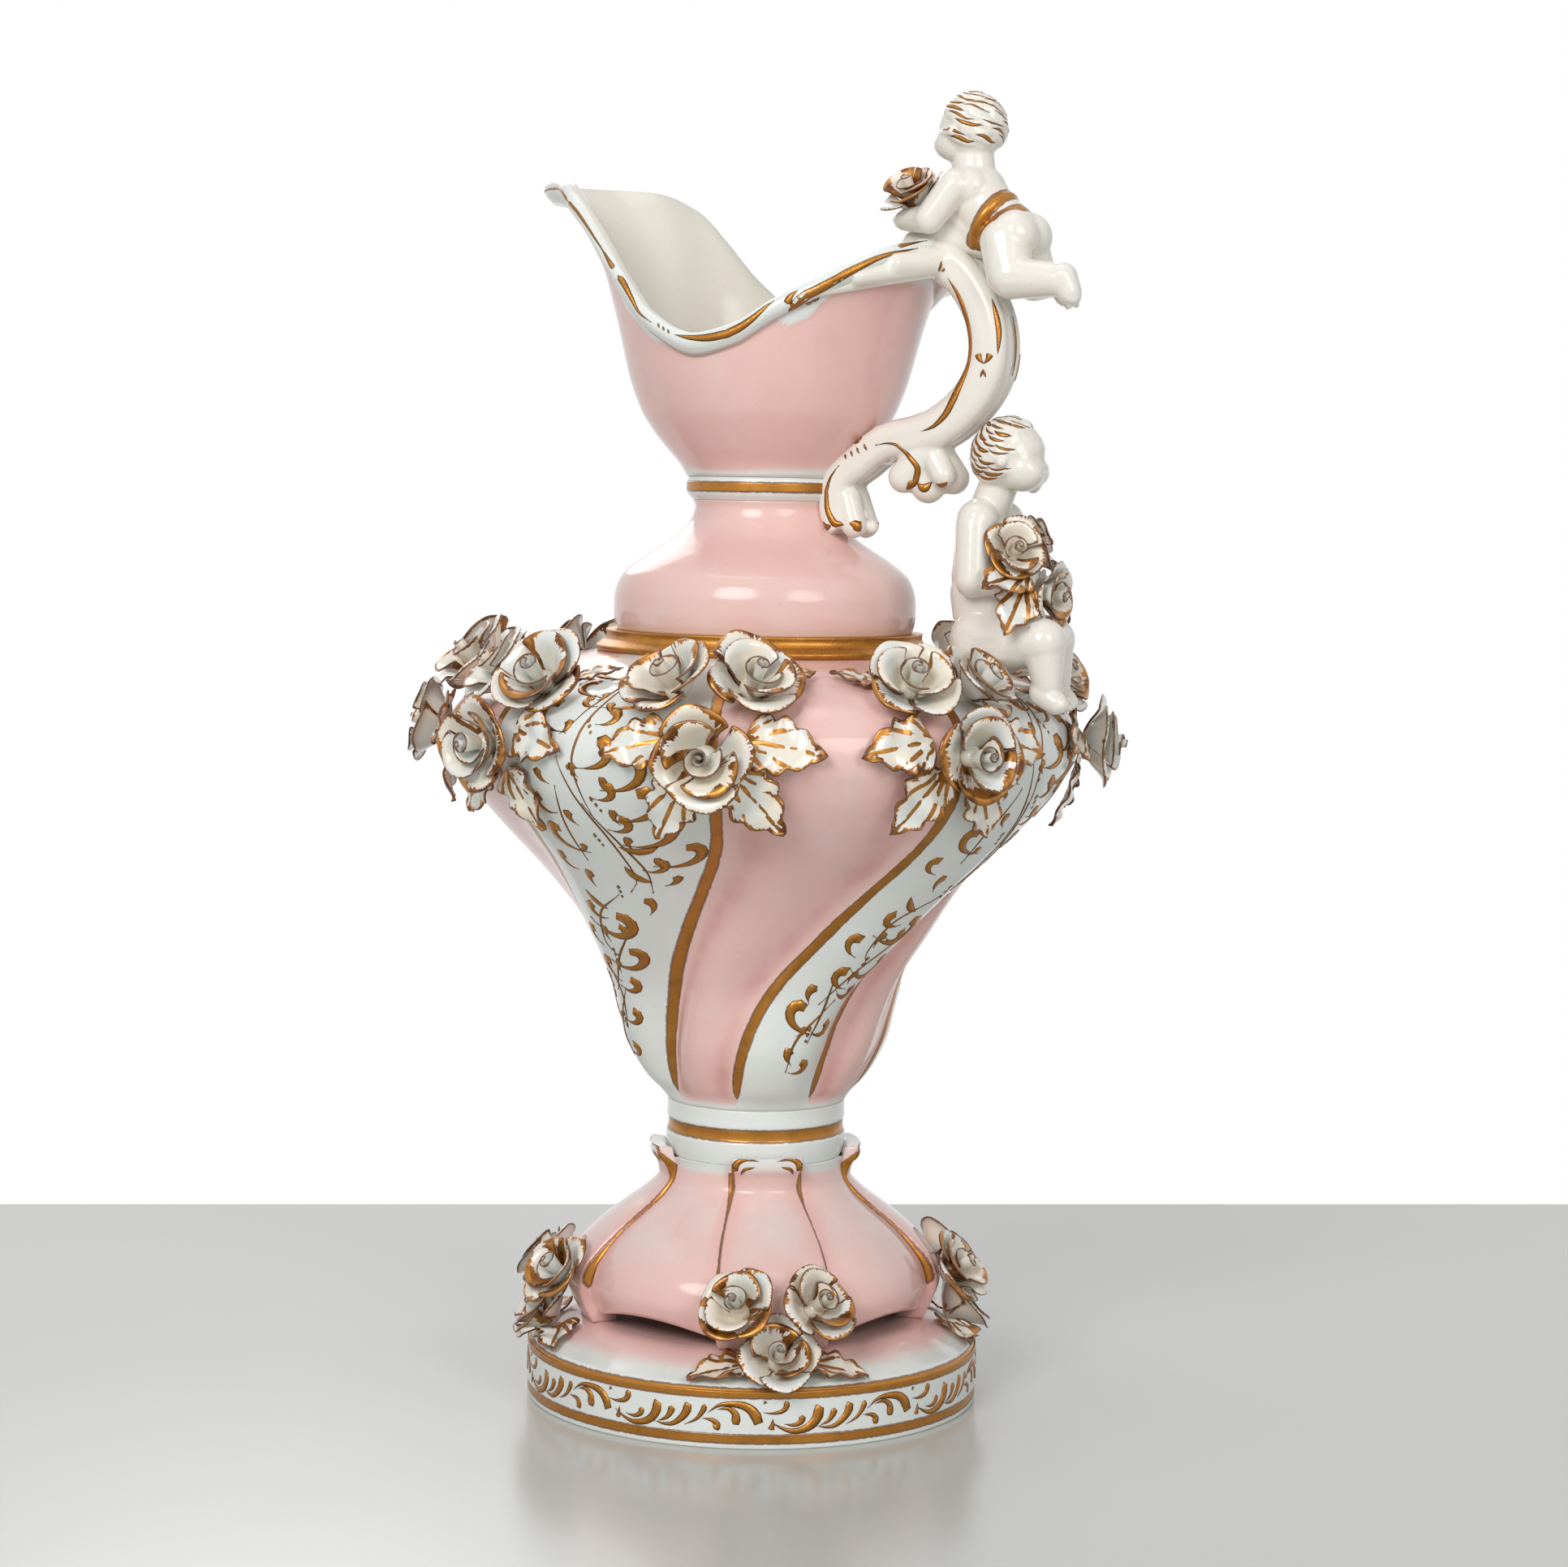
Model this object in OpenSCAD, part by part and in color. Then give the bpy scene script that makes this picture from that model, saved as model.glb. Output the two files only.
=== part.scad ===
// Porcelain jug: a baluster ewer with swirled lobes, a scroll handle, two cherubs and applied roses.
// Axis up the middle, resting ring at height zero, handle toward +X and spout toward -X, millimetres.

/* [Plinth] */
// Diameter of the round plinth
plinth_d = 196; // [170:1:230]
// Height of its painted side
plinth_side_h = 25; // [18:1:34]
// Rise of its domed top, up to the seat of the foot
plinth_rise = 11; // [7:1:16]
// Thickness of the plinth's shell
plinth_wall = 6; // [4:0.5:8]
// Hole between the plinth and the hollow foot
vent_d = 18; // [10:1:30]

/* [Foot] */
// Height of the bell foot, from the plinth to the stem collar
foot_h = 70; // [60:1:84]
// Largest diameter, over the four legs
foot_d = 163; // [150:1:168]
// How far a leg stands out from the lappets beside it
leg_relief = 5; // [3:0.5:7]
// Width of a leg, as the angle that it takes round the axis
leg_angle = 35; // [28:1:42]
// Gap between the plinth and a lappet, next to a leg
arch_gap = 5; // [4.5:0.5:7]
// How much higher the gap is in the middle of a lappet
arch_rise = 4; // [2:0.5:6]
// Thickness of the foot's shell
foot_wall = 6; // [5:0.5:8]

/* [Stem collar] */
// Diameter of the white collar between the foot and the body
stem_d = 77; // [72:0.5:80]
// Height of the collar
stem_h = 24; // [18:1:32]
// Thickness of the collar's shell
stem_wall = 7; // [5:0.5:9]

/* [Body] */
// Largest diameter of the body
body_d = 277; // [255:1:290]
// Height of the body, from the stem collar to the shoulder ring
body_h = 194; // [180:1:210]
// Depth of the hollows between the white lobes
lobe_depth = 6.5; // [3:0.5:8]
// Extra depth of the groove along one side of each white lobe
groove_depth = 9; // [4:0.5:11]
// Turn of the lobes round the axis, from the shoulder down to the stem
lobe_twist = 48; // [30:1:60]
// Thickness of the body's shell
body_wall = 6; // [4.5:0.5:8]

/* [Neck] */
// Diameter of the gilt ring on the shoulder
ring_d = 143; // [139:1:150]
// Height of the gilt ring
ring_h = 9; // [7:0.5:12]
// Largest diameter of the pink bulb
bulb_d = 130; // [120:1:136]
// Height of the bulb, up to the neck collar
bulb_h = 56; // [50:1:64]
// Diameter of the waist at the top of the bulb
waist_d = 61; // [58:1:64]
// Diameter of the white neck collar
neck_d = 69; // [67:0.5:72]
// Height of the neck collar
neck_h = 10; // [8:0.5:13]
// Thickness of the shell from the ring to the neck collar
neck_wall = 5; // [4:0.5:6]

/* [Mouth] */
// Height of the funnel below the lowest dip of the rim
funnel_h = 56; // [50:1:64]
// Rise of the spout's tip above that dip
spout_rise = 68; // [55:1:80]
// Reach of the spout's tip from the axis
spout_reach = 110; // [100:1:122]
// Width across the two dips of the rim
mouth_w = 134; // [126:1:142]
// Thickness of the funnel's shell
mouth_wall = 5; // [4:0.5:6]
// Thickness of the rolled rim
rim_roll = 7; // [6:0.5:9]

/* [Handle] */
// Reach of the handle's outermost point from the axis
handle_reach = 118; // [112:1:126]
// Width of the handle's band, across the jug
band_w = 22; // [18:1:25]
// Thickness of the band in the plane of its curve
band_t = 15; // [13:0.5:17]

/* [Cherubs] */
// Height of the sitting cherub, from its seat to the top of its head
sitter_h = 109; // [103:1:112]
// Length of the lying cherub, from its foot to its hand
lier_l = 86; // [82:1:90]

/* [Roses and leaves] */
// Diameter of a rose on the shoulder
rose_d = 33; // [29:0.5:34]
// Length of a leaf on the shoulder
leaf_l = 33; // [28:0.5:36]
// Diameter of a rose on the plinth
foot_rose_d = 28; // [24:0.5:29]
// Length of a leaf on the plinth
foot_leaf_l = 27; // [23:0.5:29]
// Diameter of a rose that a cherub holds
held_rose_d = 24; // [20:0.5:25]

/* [Hidden] */
$fn = 64;
seat_gap = 0.3;
overrun = 1;

// Heights of the joints between the pieces
z_foot = plinth_side_h + plinth_rise;
z_stem = z_foot + foot_h;
z_body = z_stem + stem_h;
z_ring = z_body + body_h;
z_bulb = z_ring + ring_h;
z_neck = z_bulb + bulb_h;
z_mouth = z_neck + neck_h;
z_dip = z_mouth + funnel_h;

body_rad = body_d / 2;
lobe_start_angle = -1.5;
leg_start_angle = 36.5;
cluster_start_angle = 21;

// Glaze colours
pink_glaze = [0.93, 0.77, 0.73];
white_glaze = [0.93, 0.93, 0.9];
ivory_glaze = [0.86, 0.84, 0.78];
gilt = [0.66, 0.46, 0.16];

// Shared helpers

// Faces between two rings of n points each, seen from the side that the rings' order turns outward
function walls(a, b, n) = [for (i = [0:n - 1]) let (j = (i + 1) % n) each
    [[a + i, b + i, b + j], [a + i, b + j, a + j]]];

// Faces from a ring of 2n points to a ring of n points
function half_walls(a, b, n) = [for (i = [0:n - 1]) let (j = (i + 1) % n) each
    [[a + 2 * i, b + i, a + 2 * i + 1], [a + 2 * i + 1, b + i, b + j],
    [a + 2 * i + 1, b + j, a + 2 * j]]];

// Faces that close a ring onto one middle point
function fan_in(a, c, n) = [for (i = [0:n - 1]) [a + i, c, a + (i + 1) % n]];
function fan_out(c, b, n) = [for (i = [0:n - 1]) [c, b + i, b + (i + 1) % n]];

function polar(r, a, z) = [r * cos(a), r * sin(a), z];
function mix(a, b, t) = a + (b - a) * t;
function ease(t) = let (u = min(1, max(0, t))) u * u * (3 - 2 * u);
function swing(a) = ((a + 180) % 360 + 360) % 360 - 180;

// Body: eight lobes, four white and four pink, that swirl down to the stem

// Height and ridge radius, as shares of the body's height and radius; the ends follow the collar and ring
body_profile_shares = [[0.02, 0.3], [0.05, 0.343], [0.09, 0.382], [0.14, 0.417], [0.2, 0.443],
    [0.26, 0.471], [0.32, 0.516], [0.38, 0.571], [0.44, 0.628], [0.5, 0.694], [0.56, 0.77], [0.62, 0.851],
    [0.68, 0.922], [0.74, 0.973], [0.8, 1], [0.85, 0.988], [0.89, 0.95], [0.925, 0.885], [0.955, 0.79],
    [0.98, 0.668]];
// Height and share of the twist that is left there
lobe_twist_shares = [[0, 1], [0.03, 0.99], [0.1, 0.94], [0.16, 0.87], [0.23, 0.76], [0.3, 0.61],
    [0.37, 0.44], [0.44, 0.29], [0.51, 0.16], [0.58, 0.06], [0.64, 0.015], [0.7, 0]];
// Height and share of the full lobe depth
lobe_depth_shares = [[0, 0], [0.02, 0.25], [0.08, 0.6], [0.2, 0.85], [0.35, 1], [0.6, 1],
    [0.75, 0.7], [0.88, 0.4], [0.955, 0.15], [1, 0]];
// Angle from the middle of a white lobe, and depth below its ridge
lobe_form_shares = [[0, 0], [8, 0.04], [12, 0.14], [16, 0.32], [19, 0.46], [22.5, 0.62], [25, 0.8],
    [29, 0.97], [33, 1], [39, 0.9], [45, 0.82]];
// Height and share of the full groove
groove_level_shares = [[0, 0], [0.03, 0.2], [0.08, 0.6], [0.14, 0.9], [0.2, 1], [0.58, 1], [0.65, 0.75],
    [0.72, 0.3], [0.78, 0]];
// Angle from the middle of a white lobe, on the groove's side only, and share of the groove's depth
groove_form_shares = [[0, 0], [5, 0.08], [9, 0.25], [14, 0.56], [18, 0.83], [22.5, 1], [26, 0.92],
    [30, 0.64], [35, 0.32], [40, 0.1], [45, 0]];
lobe_column_angles = [-40, -29, -25, -22.5, -19, -12, -4, 4, 12, 19, 22.5, 25, 29, 40];

function body_at(share) = share <= body_profile_shares[0][0]
    ? mix(stem_d / 2, body_rad * body_profile_shares[0][1], share / body_profile_shares[0][0])
    : share >= 0.98
    ? mix(body_rad * lookup(0.98, body_profile_shares), ring_d / 2, (share - 0.98) / 0.02)
    : body_rad * lookup(share, body_profile_shares);
function groove(share) = groove_depth * lookup(share, groove_level_shares);
function lobe_cut(a, share) =
    let (t = swing(4 * (a - lobe_start_angle + lobe_twist * lookup(share, lobe_twist_shares))) / 4)
    lobe_depth * lookup(share, lobe_depth_shares) * lookup(abs(t), lobe_form_shares)
        + groove(share) * lookup(t, groove_form_shares);
function body_r(a, z) = let (share = (z - z_body) / body_h) body_at(share) - lobe_cut(a, share);
function body_slope(z) = let (e = body_h / 90)
    (body_at((z + e - z_body) / body_h) - body_at((z - e - z_body) / body_h)) / (2 * e);

function body_columns() = [for (q = [0:3], a = lobe_column_angles) q * 90 + a + lobe_start_angle];
body_levels = concat([0], [for (p = body_profile_shares) p[0]], [1]);
inner_levels = [1, 0.97, 0.925, 0.86, 0.78, 0.66, 0.5, 0.32, 0.16, 0.07];
bore_r = min(ring_d / 2 - neck_wall * 2, bulb_d / 2 - neck_wall * 0.7);

module body() {
    cols = body_columns();
    n = len(cols);
    m = n / 2;
    rows = len(body_levels);
    depth = len(inner_levels);
    outer = [for (s = body_levels) for (c = cols)
        let (a = c - lobe_twist * lookup(s, lobe_twist_shares))
        polar(body_at(s) - lobe_cut(a, s), a, z_body + s * body_h)];
    top = [for (i = [0:m - 1]) polar(bore_r, cols[2 * i], z_ring)];
    inner = [for (s = inner_levels) for (i = [0:m - 1])
        let (slope = body_slope(z_body + s * body_h), k = sqrt(1 + slope * slope),
            side = lobe_column_angles[(2 * i) % len(lobe_column_angles)] > 0 ? 1 : 0)
        s == 1 ? polar(bore_r, cols[2 * i], z_ring - body_wall)
        : polar(body_at(s) - lobe_depth * lookup(s, lobe_depth_shares) - groove(s) * side - body_wall / k,
            cols[2 * i] - lobe_twist * lookup(s, lobe_twist_shares),
            z_body + s * body_h + body_wall * slope / k)];
    last = rows * n + m + (depth - 1) * m;
    floor_z = z_body + body_h * inner_levels[depth - 1] - body_wall;
    color(pink_glaze)
        polyhedron(
            points = concat(outer, top, inner, [[0, 0, z_body], [0, 0, floor_z]]),
            faces = concat(
                fan_out(rows * n + m + depth * m, 0, n),
                [for (k = [0:rows - 2]) each walls(k * n, (k + 1) * n, n)],
                half_walls((rows - 1) * n, rows * n, m),
                [for (k = [0:depth - 1]) each walls(rows * n + k * m, rows * n + (k + 1) * m, m)],
                fan_in(last, rows * n + m + depth * m + 1, m)),
            convexity = 8);
}

// Plinth, stem collar, shoulder ring and neck: turned pieces

plinth_r = plinth_d / 2;
// Radius and height share of the domed top, from the seat of the foot out to the rounded edge
plinth_top_shares = [[0.72, 1], [0.76, 0.96], [0.84, 0.7], [0.9, 0.42], [0.95, 0.22], [0.98, 0.1],
    [0.994, -0.06], [1, -0.22]];

module plinth() {
    edge = plinth_wall / 6;
    color(white_glaze)
        difference() {
            rotate_extrude()
                polygon(concat([[0, 0], [plinth_r - edge, 0], [plinth_r, edge]],
                    [for (i = [len(plinth_top_shares) - 1:-1:0])
                        [plinth_r * plinth_top_shares[i][0],
                            plinth_side_h + plinth_rise * plinth_top_shares[i][1]]],
                    [[0, z_foot]]));
            rotate_extrude()
                polygon(concat([[0, -overrun], [plinth_r - plinth_wall, -overrun]],
                    [for (i = [len(plinth_top_shares) - 2:-1:0])
                        [(plinth_r - plinth_wall) * plinth_top_shares[i][0],
                            plinth_side_h + plinth_rise * plinth_top_shares[i][1] - plinth_wall]],
                    [[0, z_foot - plinth_wall]]));
            cylinder(d = vent_d, h = z_foot + overrun);
        }
}

// Height up the collar and share of its radius
stem_form_shares = [[0, 0.965], [0.1, 0.99], [0.25, 1.008], [0.42, 1.012], [0.46, 0.995], [0.64, 0.995],
    [0.68, 1.004], [0.85, 1], [1, 1]];

module stem_collar() {
    color(white_glaze)
        rotate_extrude()
            polygon(concat([for (p = stem_form_shares) [stem_d / 2 * p[1], z_stem + stem_h * p[0]]],
                [[stem_d / 2 - stem_wall, z_body], [stem_d / 2 - stem_wall, z_stem]]));
}

// The cove of the gilt ring, from its foot in to the bulb, and its height
cove_shares = [[0, 0.45], [0.5, 0.5], [0.82, 0.58], [1, 0.7], [1, 0.8]];

module shoulder_ring() {
    foot_r = ring_d / 2;
    color(gilt)
        rotate_extrude()
            polygon(concat([[bore_r, z_ring], [foot_r, z_ring], [foot_r + ring_h / 9, z_ring + ring_h / 4]],
                [for (p = cove_shares)
                    [mix(foot_r - ring_h * 0.1, bulb_d / 2 + ring_h * 0.3, p[0]), z_ring + ring_h * p[1]]],
                [[bulb_d / 2 + ring_h * 0.35, z_bulb], [bore_r, z_bulb]]));
}

// Height up the bulb and how far the radius has gone from the waist out to the bulb's full size
bulb_form_shares = [[0, 0.955], [0.06, 0.985], [0.16, 1], [0.26, 0.995], [0.34, 0.965], [0.42, 0.9],
    [0.5, 0.76], [0.57, 0.6], [0.64, 0.42], [0.72, 0.24], [0.8, 0.11], [0.88, 0.03], [0.95, 0.005],
        [1, 0.03]];
function bulb_r(share) = mix(waist_d / 2, bulb_d / 2, lookup(share, bulb_form_shares));

module neck_bulb() {
    color(pink_glaze)
        rotate_extrude()
            polygon(concat([for (p = bulb_form_shares) [mix(waist_d / 2, bulb_d / 2, p[1]),
                z_bulb + bulb_h * p[0]]],
                [for (i = [len(bulb_form_shares) - 1:-1:0])
                    [min(bore_r, mix(waist_d / 2, bulb_d / 2, bulb_form_shares[i][1]) - neck_wall),
                        z_bulb + bulb_h * bulb_form_shares[i][0]]]));
}

module neck_collar() {
    waist_r = waist_d / 2;
    color(white_glaze)
        rotate_extrude()
            polygon([[waist_r - neck_wall, z_neck], [waist_r + (neck_d / 2 - waist_r) * 0.3, z_neck],
                [neck_d / 2 - neck_h * 0.06, z_neck + neck_h * 0.25], [neck_d / 2, z_neck + neck_h * 0.35],
                [neck_d / 2, z_neck + neck_h * 0.75], [neck_d / 2 - neck_h * 0.06, z_neck + neck_h * 0.85],
                [neck_d / 2 - neck_h * 0.06, z_mouth], [waist_r - neck_wall, z_mouth]]);
}

// Foot: a bell with four legs, lappets between them and a curl at the top of each leg

// Height and radius of a leg from its toe to its curl and back to the collar, as shares
leg_form_shares = [[0, 0.93], [0.1, 0.97], [0.22, 1], [0.34, 0.98], [0.45, 0.915], [0.57, 0.81],
    [0.68, 0.69], [0.78, 0.575], [0.87, 0.508], [0.94, 0.525], [1.01, 0.567], [1.07, 0.567], [1.06, 0.5],
    [1, 0.484]];
// The same of a lappet; the first height is measured from the arch below it
lappet_form_shares = [[0.07, 0.9], [0.14, 0.915], [0.23, 0.935], [0.34, 0.915], [0.45, 0.855], [0.57, 0.76],
    [0.68, 0.642], [0.78, 0.54], [0.87, 0.487], [0.93, 0.478], [0.955, 0.477], [0.975, 0.479],
        [0.99, 0.481],
    [1, 0.484]];
// Height and radius of the hollow inside, from the top down
foot_hollow_shares = [[1, 0.4], [0.88, 0.4], [0.76, 0.48], [0.62, 0.62], [0.45, 0.79], [0.25, 0.85]];
leg_column_shares = [-1.3, -1.12, -1, -0.8, 0, 0.8, 1, 1.12, 1.3];
lappet_column_shares = [0.3, 0.5, 0.7];

function foot_columns() = let (half = leg_angle / 2, gap = 90 - 2.6 * half) [for (q = [0:3])
    each concat([for (s = leg_column_shares) [leg_start_angle + q * 90 + s * half,
        ease((1.12 - abs(s)) / 0.12), 0]],
        [for (s = lappet_column_shares)
            [leg_start_angle + q * 90 + 1.3 * half + s * gap, 0, 1 - pow(2 * s - 1, 2)]])];

module foot() {
    cols = foot_columns();
    n = len(cols);
    foot_r = foot_d / 2;
    rows = len(leg_form_shares);
    deep = len(foot_hollow_shares);
    outer = [for (k = [0:rows - 1]) for (c = cols)
        let (leg = leg_form_shares[k], lap = lappet_form_shares[k],
            lap_r = foot_r * lap[1] + (foot_r * 0.065 - leg_relief) * max(0, 1 - k / 8)
                + leg_relief * 0.5 * c[2] * sin(180 * min(1, k / 8)),
            lap_z = k == 0 ? arch_gap + arch_rise * c[2]
                : max(arch_gap + arch_rise * c[2] + foot_h * 0.02 * k, foot_h * lap[0]))
        polar(mix(lap_r, foot_r * leg[1], c[1]), c[0], z_foot + mix(lap_z, foot_h * leg[0], c[1]))];
    inner = [for (k = [0:deep - 1]) for (c = cols)
        polar(foot_r * (foot_hollow_shares[k][1] + 0.074) - foot_wall, c[0],
            z_foot + foot_h * foot_hollow_shares[k][0])];
    hem = [for (c = cols)
        polar(mix(foot_r * 0.9 - foot_wall, foot_r * 0.93 - foot_wall * 2, c[1]), c[0],
            z_foot + mix(arch_gap + arch_rise * c[2], 0, c[1]))];
    all_rows = rows + deep + 1;
    color(pink_glaze)
        polyhedron(points = concat(outer, inner, hem),
            faces = [for (k = [0:all_rows - 1]) each walls(k * n, ((k + 1) % all_rows) * n, n)],
            convexity = 10);
}

// Mouth: a funnel that opens into a long spout, with a rolled rim in waves

// Angle from the spout's tip, then the rim's radius there as a share of the way from the dip's to the tip's,
// and its height as a share of the tip's rise above the dip
rim_shares = [[0, 1, 1], [12, 0.85, 1], [24, 0.58, 0.99], [37, 0.47, 0.88], [45, 0.31, 0.69],
    [54, 0.19, 0.47],
    [62, 0.15, 0.33], [72, 0.08, 0.14], [90, 0, 0], [106, 0.02, 0.06], [120, 0.07, 0.2], [133, 0.16, 0.32],
    [146, 0.24, 0.44], [160, 0.3, 0.55], [180, 0.4, 0.63]];
function rim_r(a) = let (t = abs(swing(a - 180)), f = lookup(t, [for (p = rim_shares) [p[0], p[1]]]))
    mix(mouth_w / 2, spout_reach, f);
function rim_z(a) = let (t = abs(swing(a - 180))) z_dip
    + spout_rise * lookup(t, [for (p = rim_shares) [p[0], p[2]]]);
// Height up to the dip and the funnel's radius, from the collar's out to the mouth's
funnel_shares = [[0, 0], [0.09, 0.1], [0.22, 0.32], [0.34, 0.5], [0.47, 0.66], [0.6, 0.76], [0.72, 0.83],
    [0.85, 0.88], [1.1, 0.94], [1.4, 0.985], [2.3, 1.03]];
function funnel_r(z) = mix(neck_d / 2, mouth_w / 2 - rim_roll / 2,
    lookup((z - z_mouth) / funnel_h, funnel_shares));
mouth_levels = [0, 0.1, 0.22, 0.36, 0.52, 0.7, 0.84, 0.94];
function mouth_r(a, t) = let (z = mix(z_mouth, rim_z(a), t))
    funnel_r(z) + (rim_r(a) - rim_roll / 2 - funnel_r(rim_z(a))) * pow(t, 3.2);
mouth_columns = 40;

module mouth() {
    n = mouth_columns;
    up = [for (t = mouth_levels) for (i = [0:n - 1]) let (a = i * 360 / n)
        polar(mouth_r(a, t), a, mix(z_mouth, rim_z(a), t))];
    lip = [for (s = [[0, -0.75], [0.5, -0.35], [0.45, 0.2], [0, 0.35], [-0.45, 0.1]]) for (i = [0:n - 1])
        let (a = i * 360 / n)
            polar(rim_r(a) - rim_roll / 2 + rim_roll * s[0], a, rim_z(a) + rim_roll * s[1])];
    down = [for (k = [len(mouth_levels) - 1:-1:0]) for (i = [0:n - 1])
        let (a = i * 360 / n, t = mouth_levels[k])
        polar(mix(waist_d / 2 - neck_wall, mouth_r(a, t) - mouth_wall, min(1, t * 10)), a,
            mix(z_mouth, rim_z(a), t))];
    rows = len(mouth_levels) * 2 + 5;
    color(pink_glaze)
        polyhedron(points = concat(up, lip, down),
            faces = [for (k = [0:rows - 1]) each walls(k * n, ((k + 1) % rows) * n, n)],
            convexity = 10);
}

// Handle: a grooved scroll band with two curled ends

back_h = rim_z(0) - z_mouth;
// Centre line of the band from the rim round to the neck: reach and height as shares, then its thickness
band_shares = [[0.72, 0.925, 1], [0.795, 0.868, 1], [0.855, 0.78, 1], [0.897, 0.68, 1], [0.915, 0.57, 1],
    [0.905, 0.46, 1], [0.862, 0.36, 1], [0.795, 0.275, 1], [0.715, 0.21, 1], [0.625, 0.172, 0.95],
    [0.53, 0.155, 0.88]];
// The lower end beside the neck: place outward from the neck's or funnel's face in shares of the thickness,
// height and thickness
branch_shares = [[0.8, 0.115, 0.86], [0.72, 0.065, 0.86], [0.52, 0.005, 0.86], [0.445, -0.07, 0.84],
    [0.47, -0.145, 0.82], [0.68, -0.218, 0.82]];
function band_point(p) = [handle_reach * p[0], 0, z_mouth + back_h * p[1]];
function branch_point(p) = let (z = z_mouth + back_h * p[1])
    [funnel_r(max(z, z_mouth)) + seat_gap + band_t * p[0], 0, z];

// Outline of the band's section: share of half the thickness outward, share of half the width across
band_section_shares = [[1, 0], [0.86, 0.28], [1, 0.5], [0.86, 0.8], [0.45, 1], [-0.2, 1], [-0.75, 0.8],
    [-1, 0.4],
    [-1, -0.4], [-0.75, -0.8], [-0.2, -1], [0.45, -1], [0.86, -0.8], [1, -0.5], [0.86, -0.28]];

// Outer face of the mouth at a place across the jug and a height, where the band's upper end sits on it
function mouth_face(y, z) = let (a = asin(y / rim_r(0)),
    r = z > rim_z(a) - rim_roll * 0.78 ? rim_r(a) : mouth_r(a, (z - z_mouth) / (rim_z(a) - z_mouth)))
    sqrt(r * r - y * y) + seat_gap;

module swept_band() {
    n = len(band_section_shares);
    path = concat(band_shares, branch_shares);
    m = len(path);
    c = concat([for (p = band_shares) band_point(p)], [for (p = branch_shares) branch_point(p)]);
    d = [for (i = [0:m - 1]) let (v = c[min(m - 1, i + 1)] - c[max(0, i - 1)]) v / norm(v)];
    free = [for (i = [0:m - 1]) for (s = band_section_shares)
        c[i] + [d[i][2], 0, -d[i][0]] * -(band_t / 2 * path[i][2]) * s[0] + [0, band_w / 2 * s[1], 0]];
    points = [for (i = [0:len(free) - 1]) let (p = free[i]) i < n ? [mouth_face(p[1], p[2]), p[1], p[2]]
        : p];
    seat = [for (i = [0:n - 1]) let (p = (free[i] + c[0]) / 2) [mouth_face(p[1], p[2]), p[1], p[2]]];
    polyhedron(points = concat(points, [[mouth_face(0, c[0][2]), 0, c[0][2]], c[m - 1]], seat),
        faces = concat([for (i = [0:n - 1]) [m * n, m * n + 2 + (i + 1) % n, m * n + 2 + i]],
            [for (i = [0:n - 1]) let (j = (i + 1) % n, b = m * n + 2) each [[b + i, b + j, j],
                [b + i, j, i]]],
            [for (k = [0:m - 2]) for (i = [0:n - 1]) let (j = (i + 1) % n) each
                [[k * n + i, k * n + j, (k + 1) * n + j], [k * n + i, (k + 1) * n + j, (k + 1) * n + i]]],
            [for (i = [0:n - 1]) [(m - 1) * n + i, (m - 1) * n + (i + 1) % n, m * n + 1]]),
        convexity = 8);
}

module blob(a, b, ra, rb) {
    hull() {
        translate(a) sphere(r = ra, $fn = 10);
        translate(b) sphere(r = rb, $fn = 10);
    }
}

// Knobs of the scroll that hangs under the band: place, shift across and radius as shares
knob_shares = [[0.585, 0.01, -0.5, 0.92], [0.66, -0.025, -0.05, 1], [0.735, 0.01, 0.42, 0.95]];
// The curled tip beside the neck and the curl on the funnel: place outward, height, shift across and radius
curl_shares = [[0.72, -0.21, -0.5, 0.62], [0.74, -0.215, 0.5, 0.62]];

module handle() {
    r = band_t / 2;
    w = band_w / 2;
    color(white_glaze) {
        swept_band();
        for (p = knob_shares)
            blob(band_point(p) + [0, w * p[2], 0], band_point([0.67, 0.13]) + [0, w * p[2] * 0.7, 0],
                r * p[3], r * 0.8);
        for (p = curl_shares) {
            blob(branch_point(p) + [0, w * p[2], 0], branch_point([0.5, -0.1]) + [0, w * p[2] * 0.8, 0],
                r * p[3], r * 0.6);
            blob(branch_point([0.5, 0.19]) + [0, w * p[2] * 0.7, 0],
                branch_point([0.95, 0.12]) + [0, w * p[2] * 0.6, 0],
                r * 0.55, r * 0.75);
        }
        blob(branch_point([0.95, 0.06]), branch_point([1.0, 0.1]), r * 0.4, r * 0.5);
    }
}

// Cherubs: two plump children, modelled on plain proportions

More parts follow.
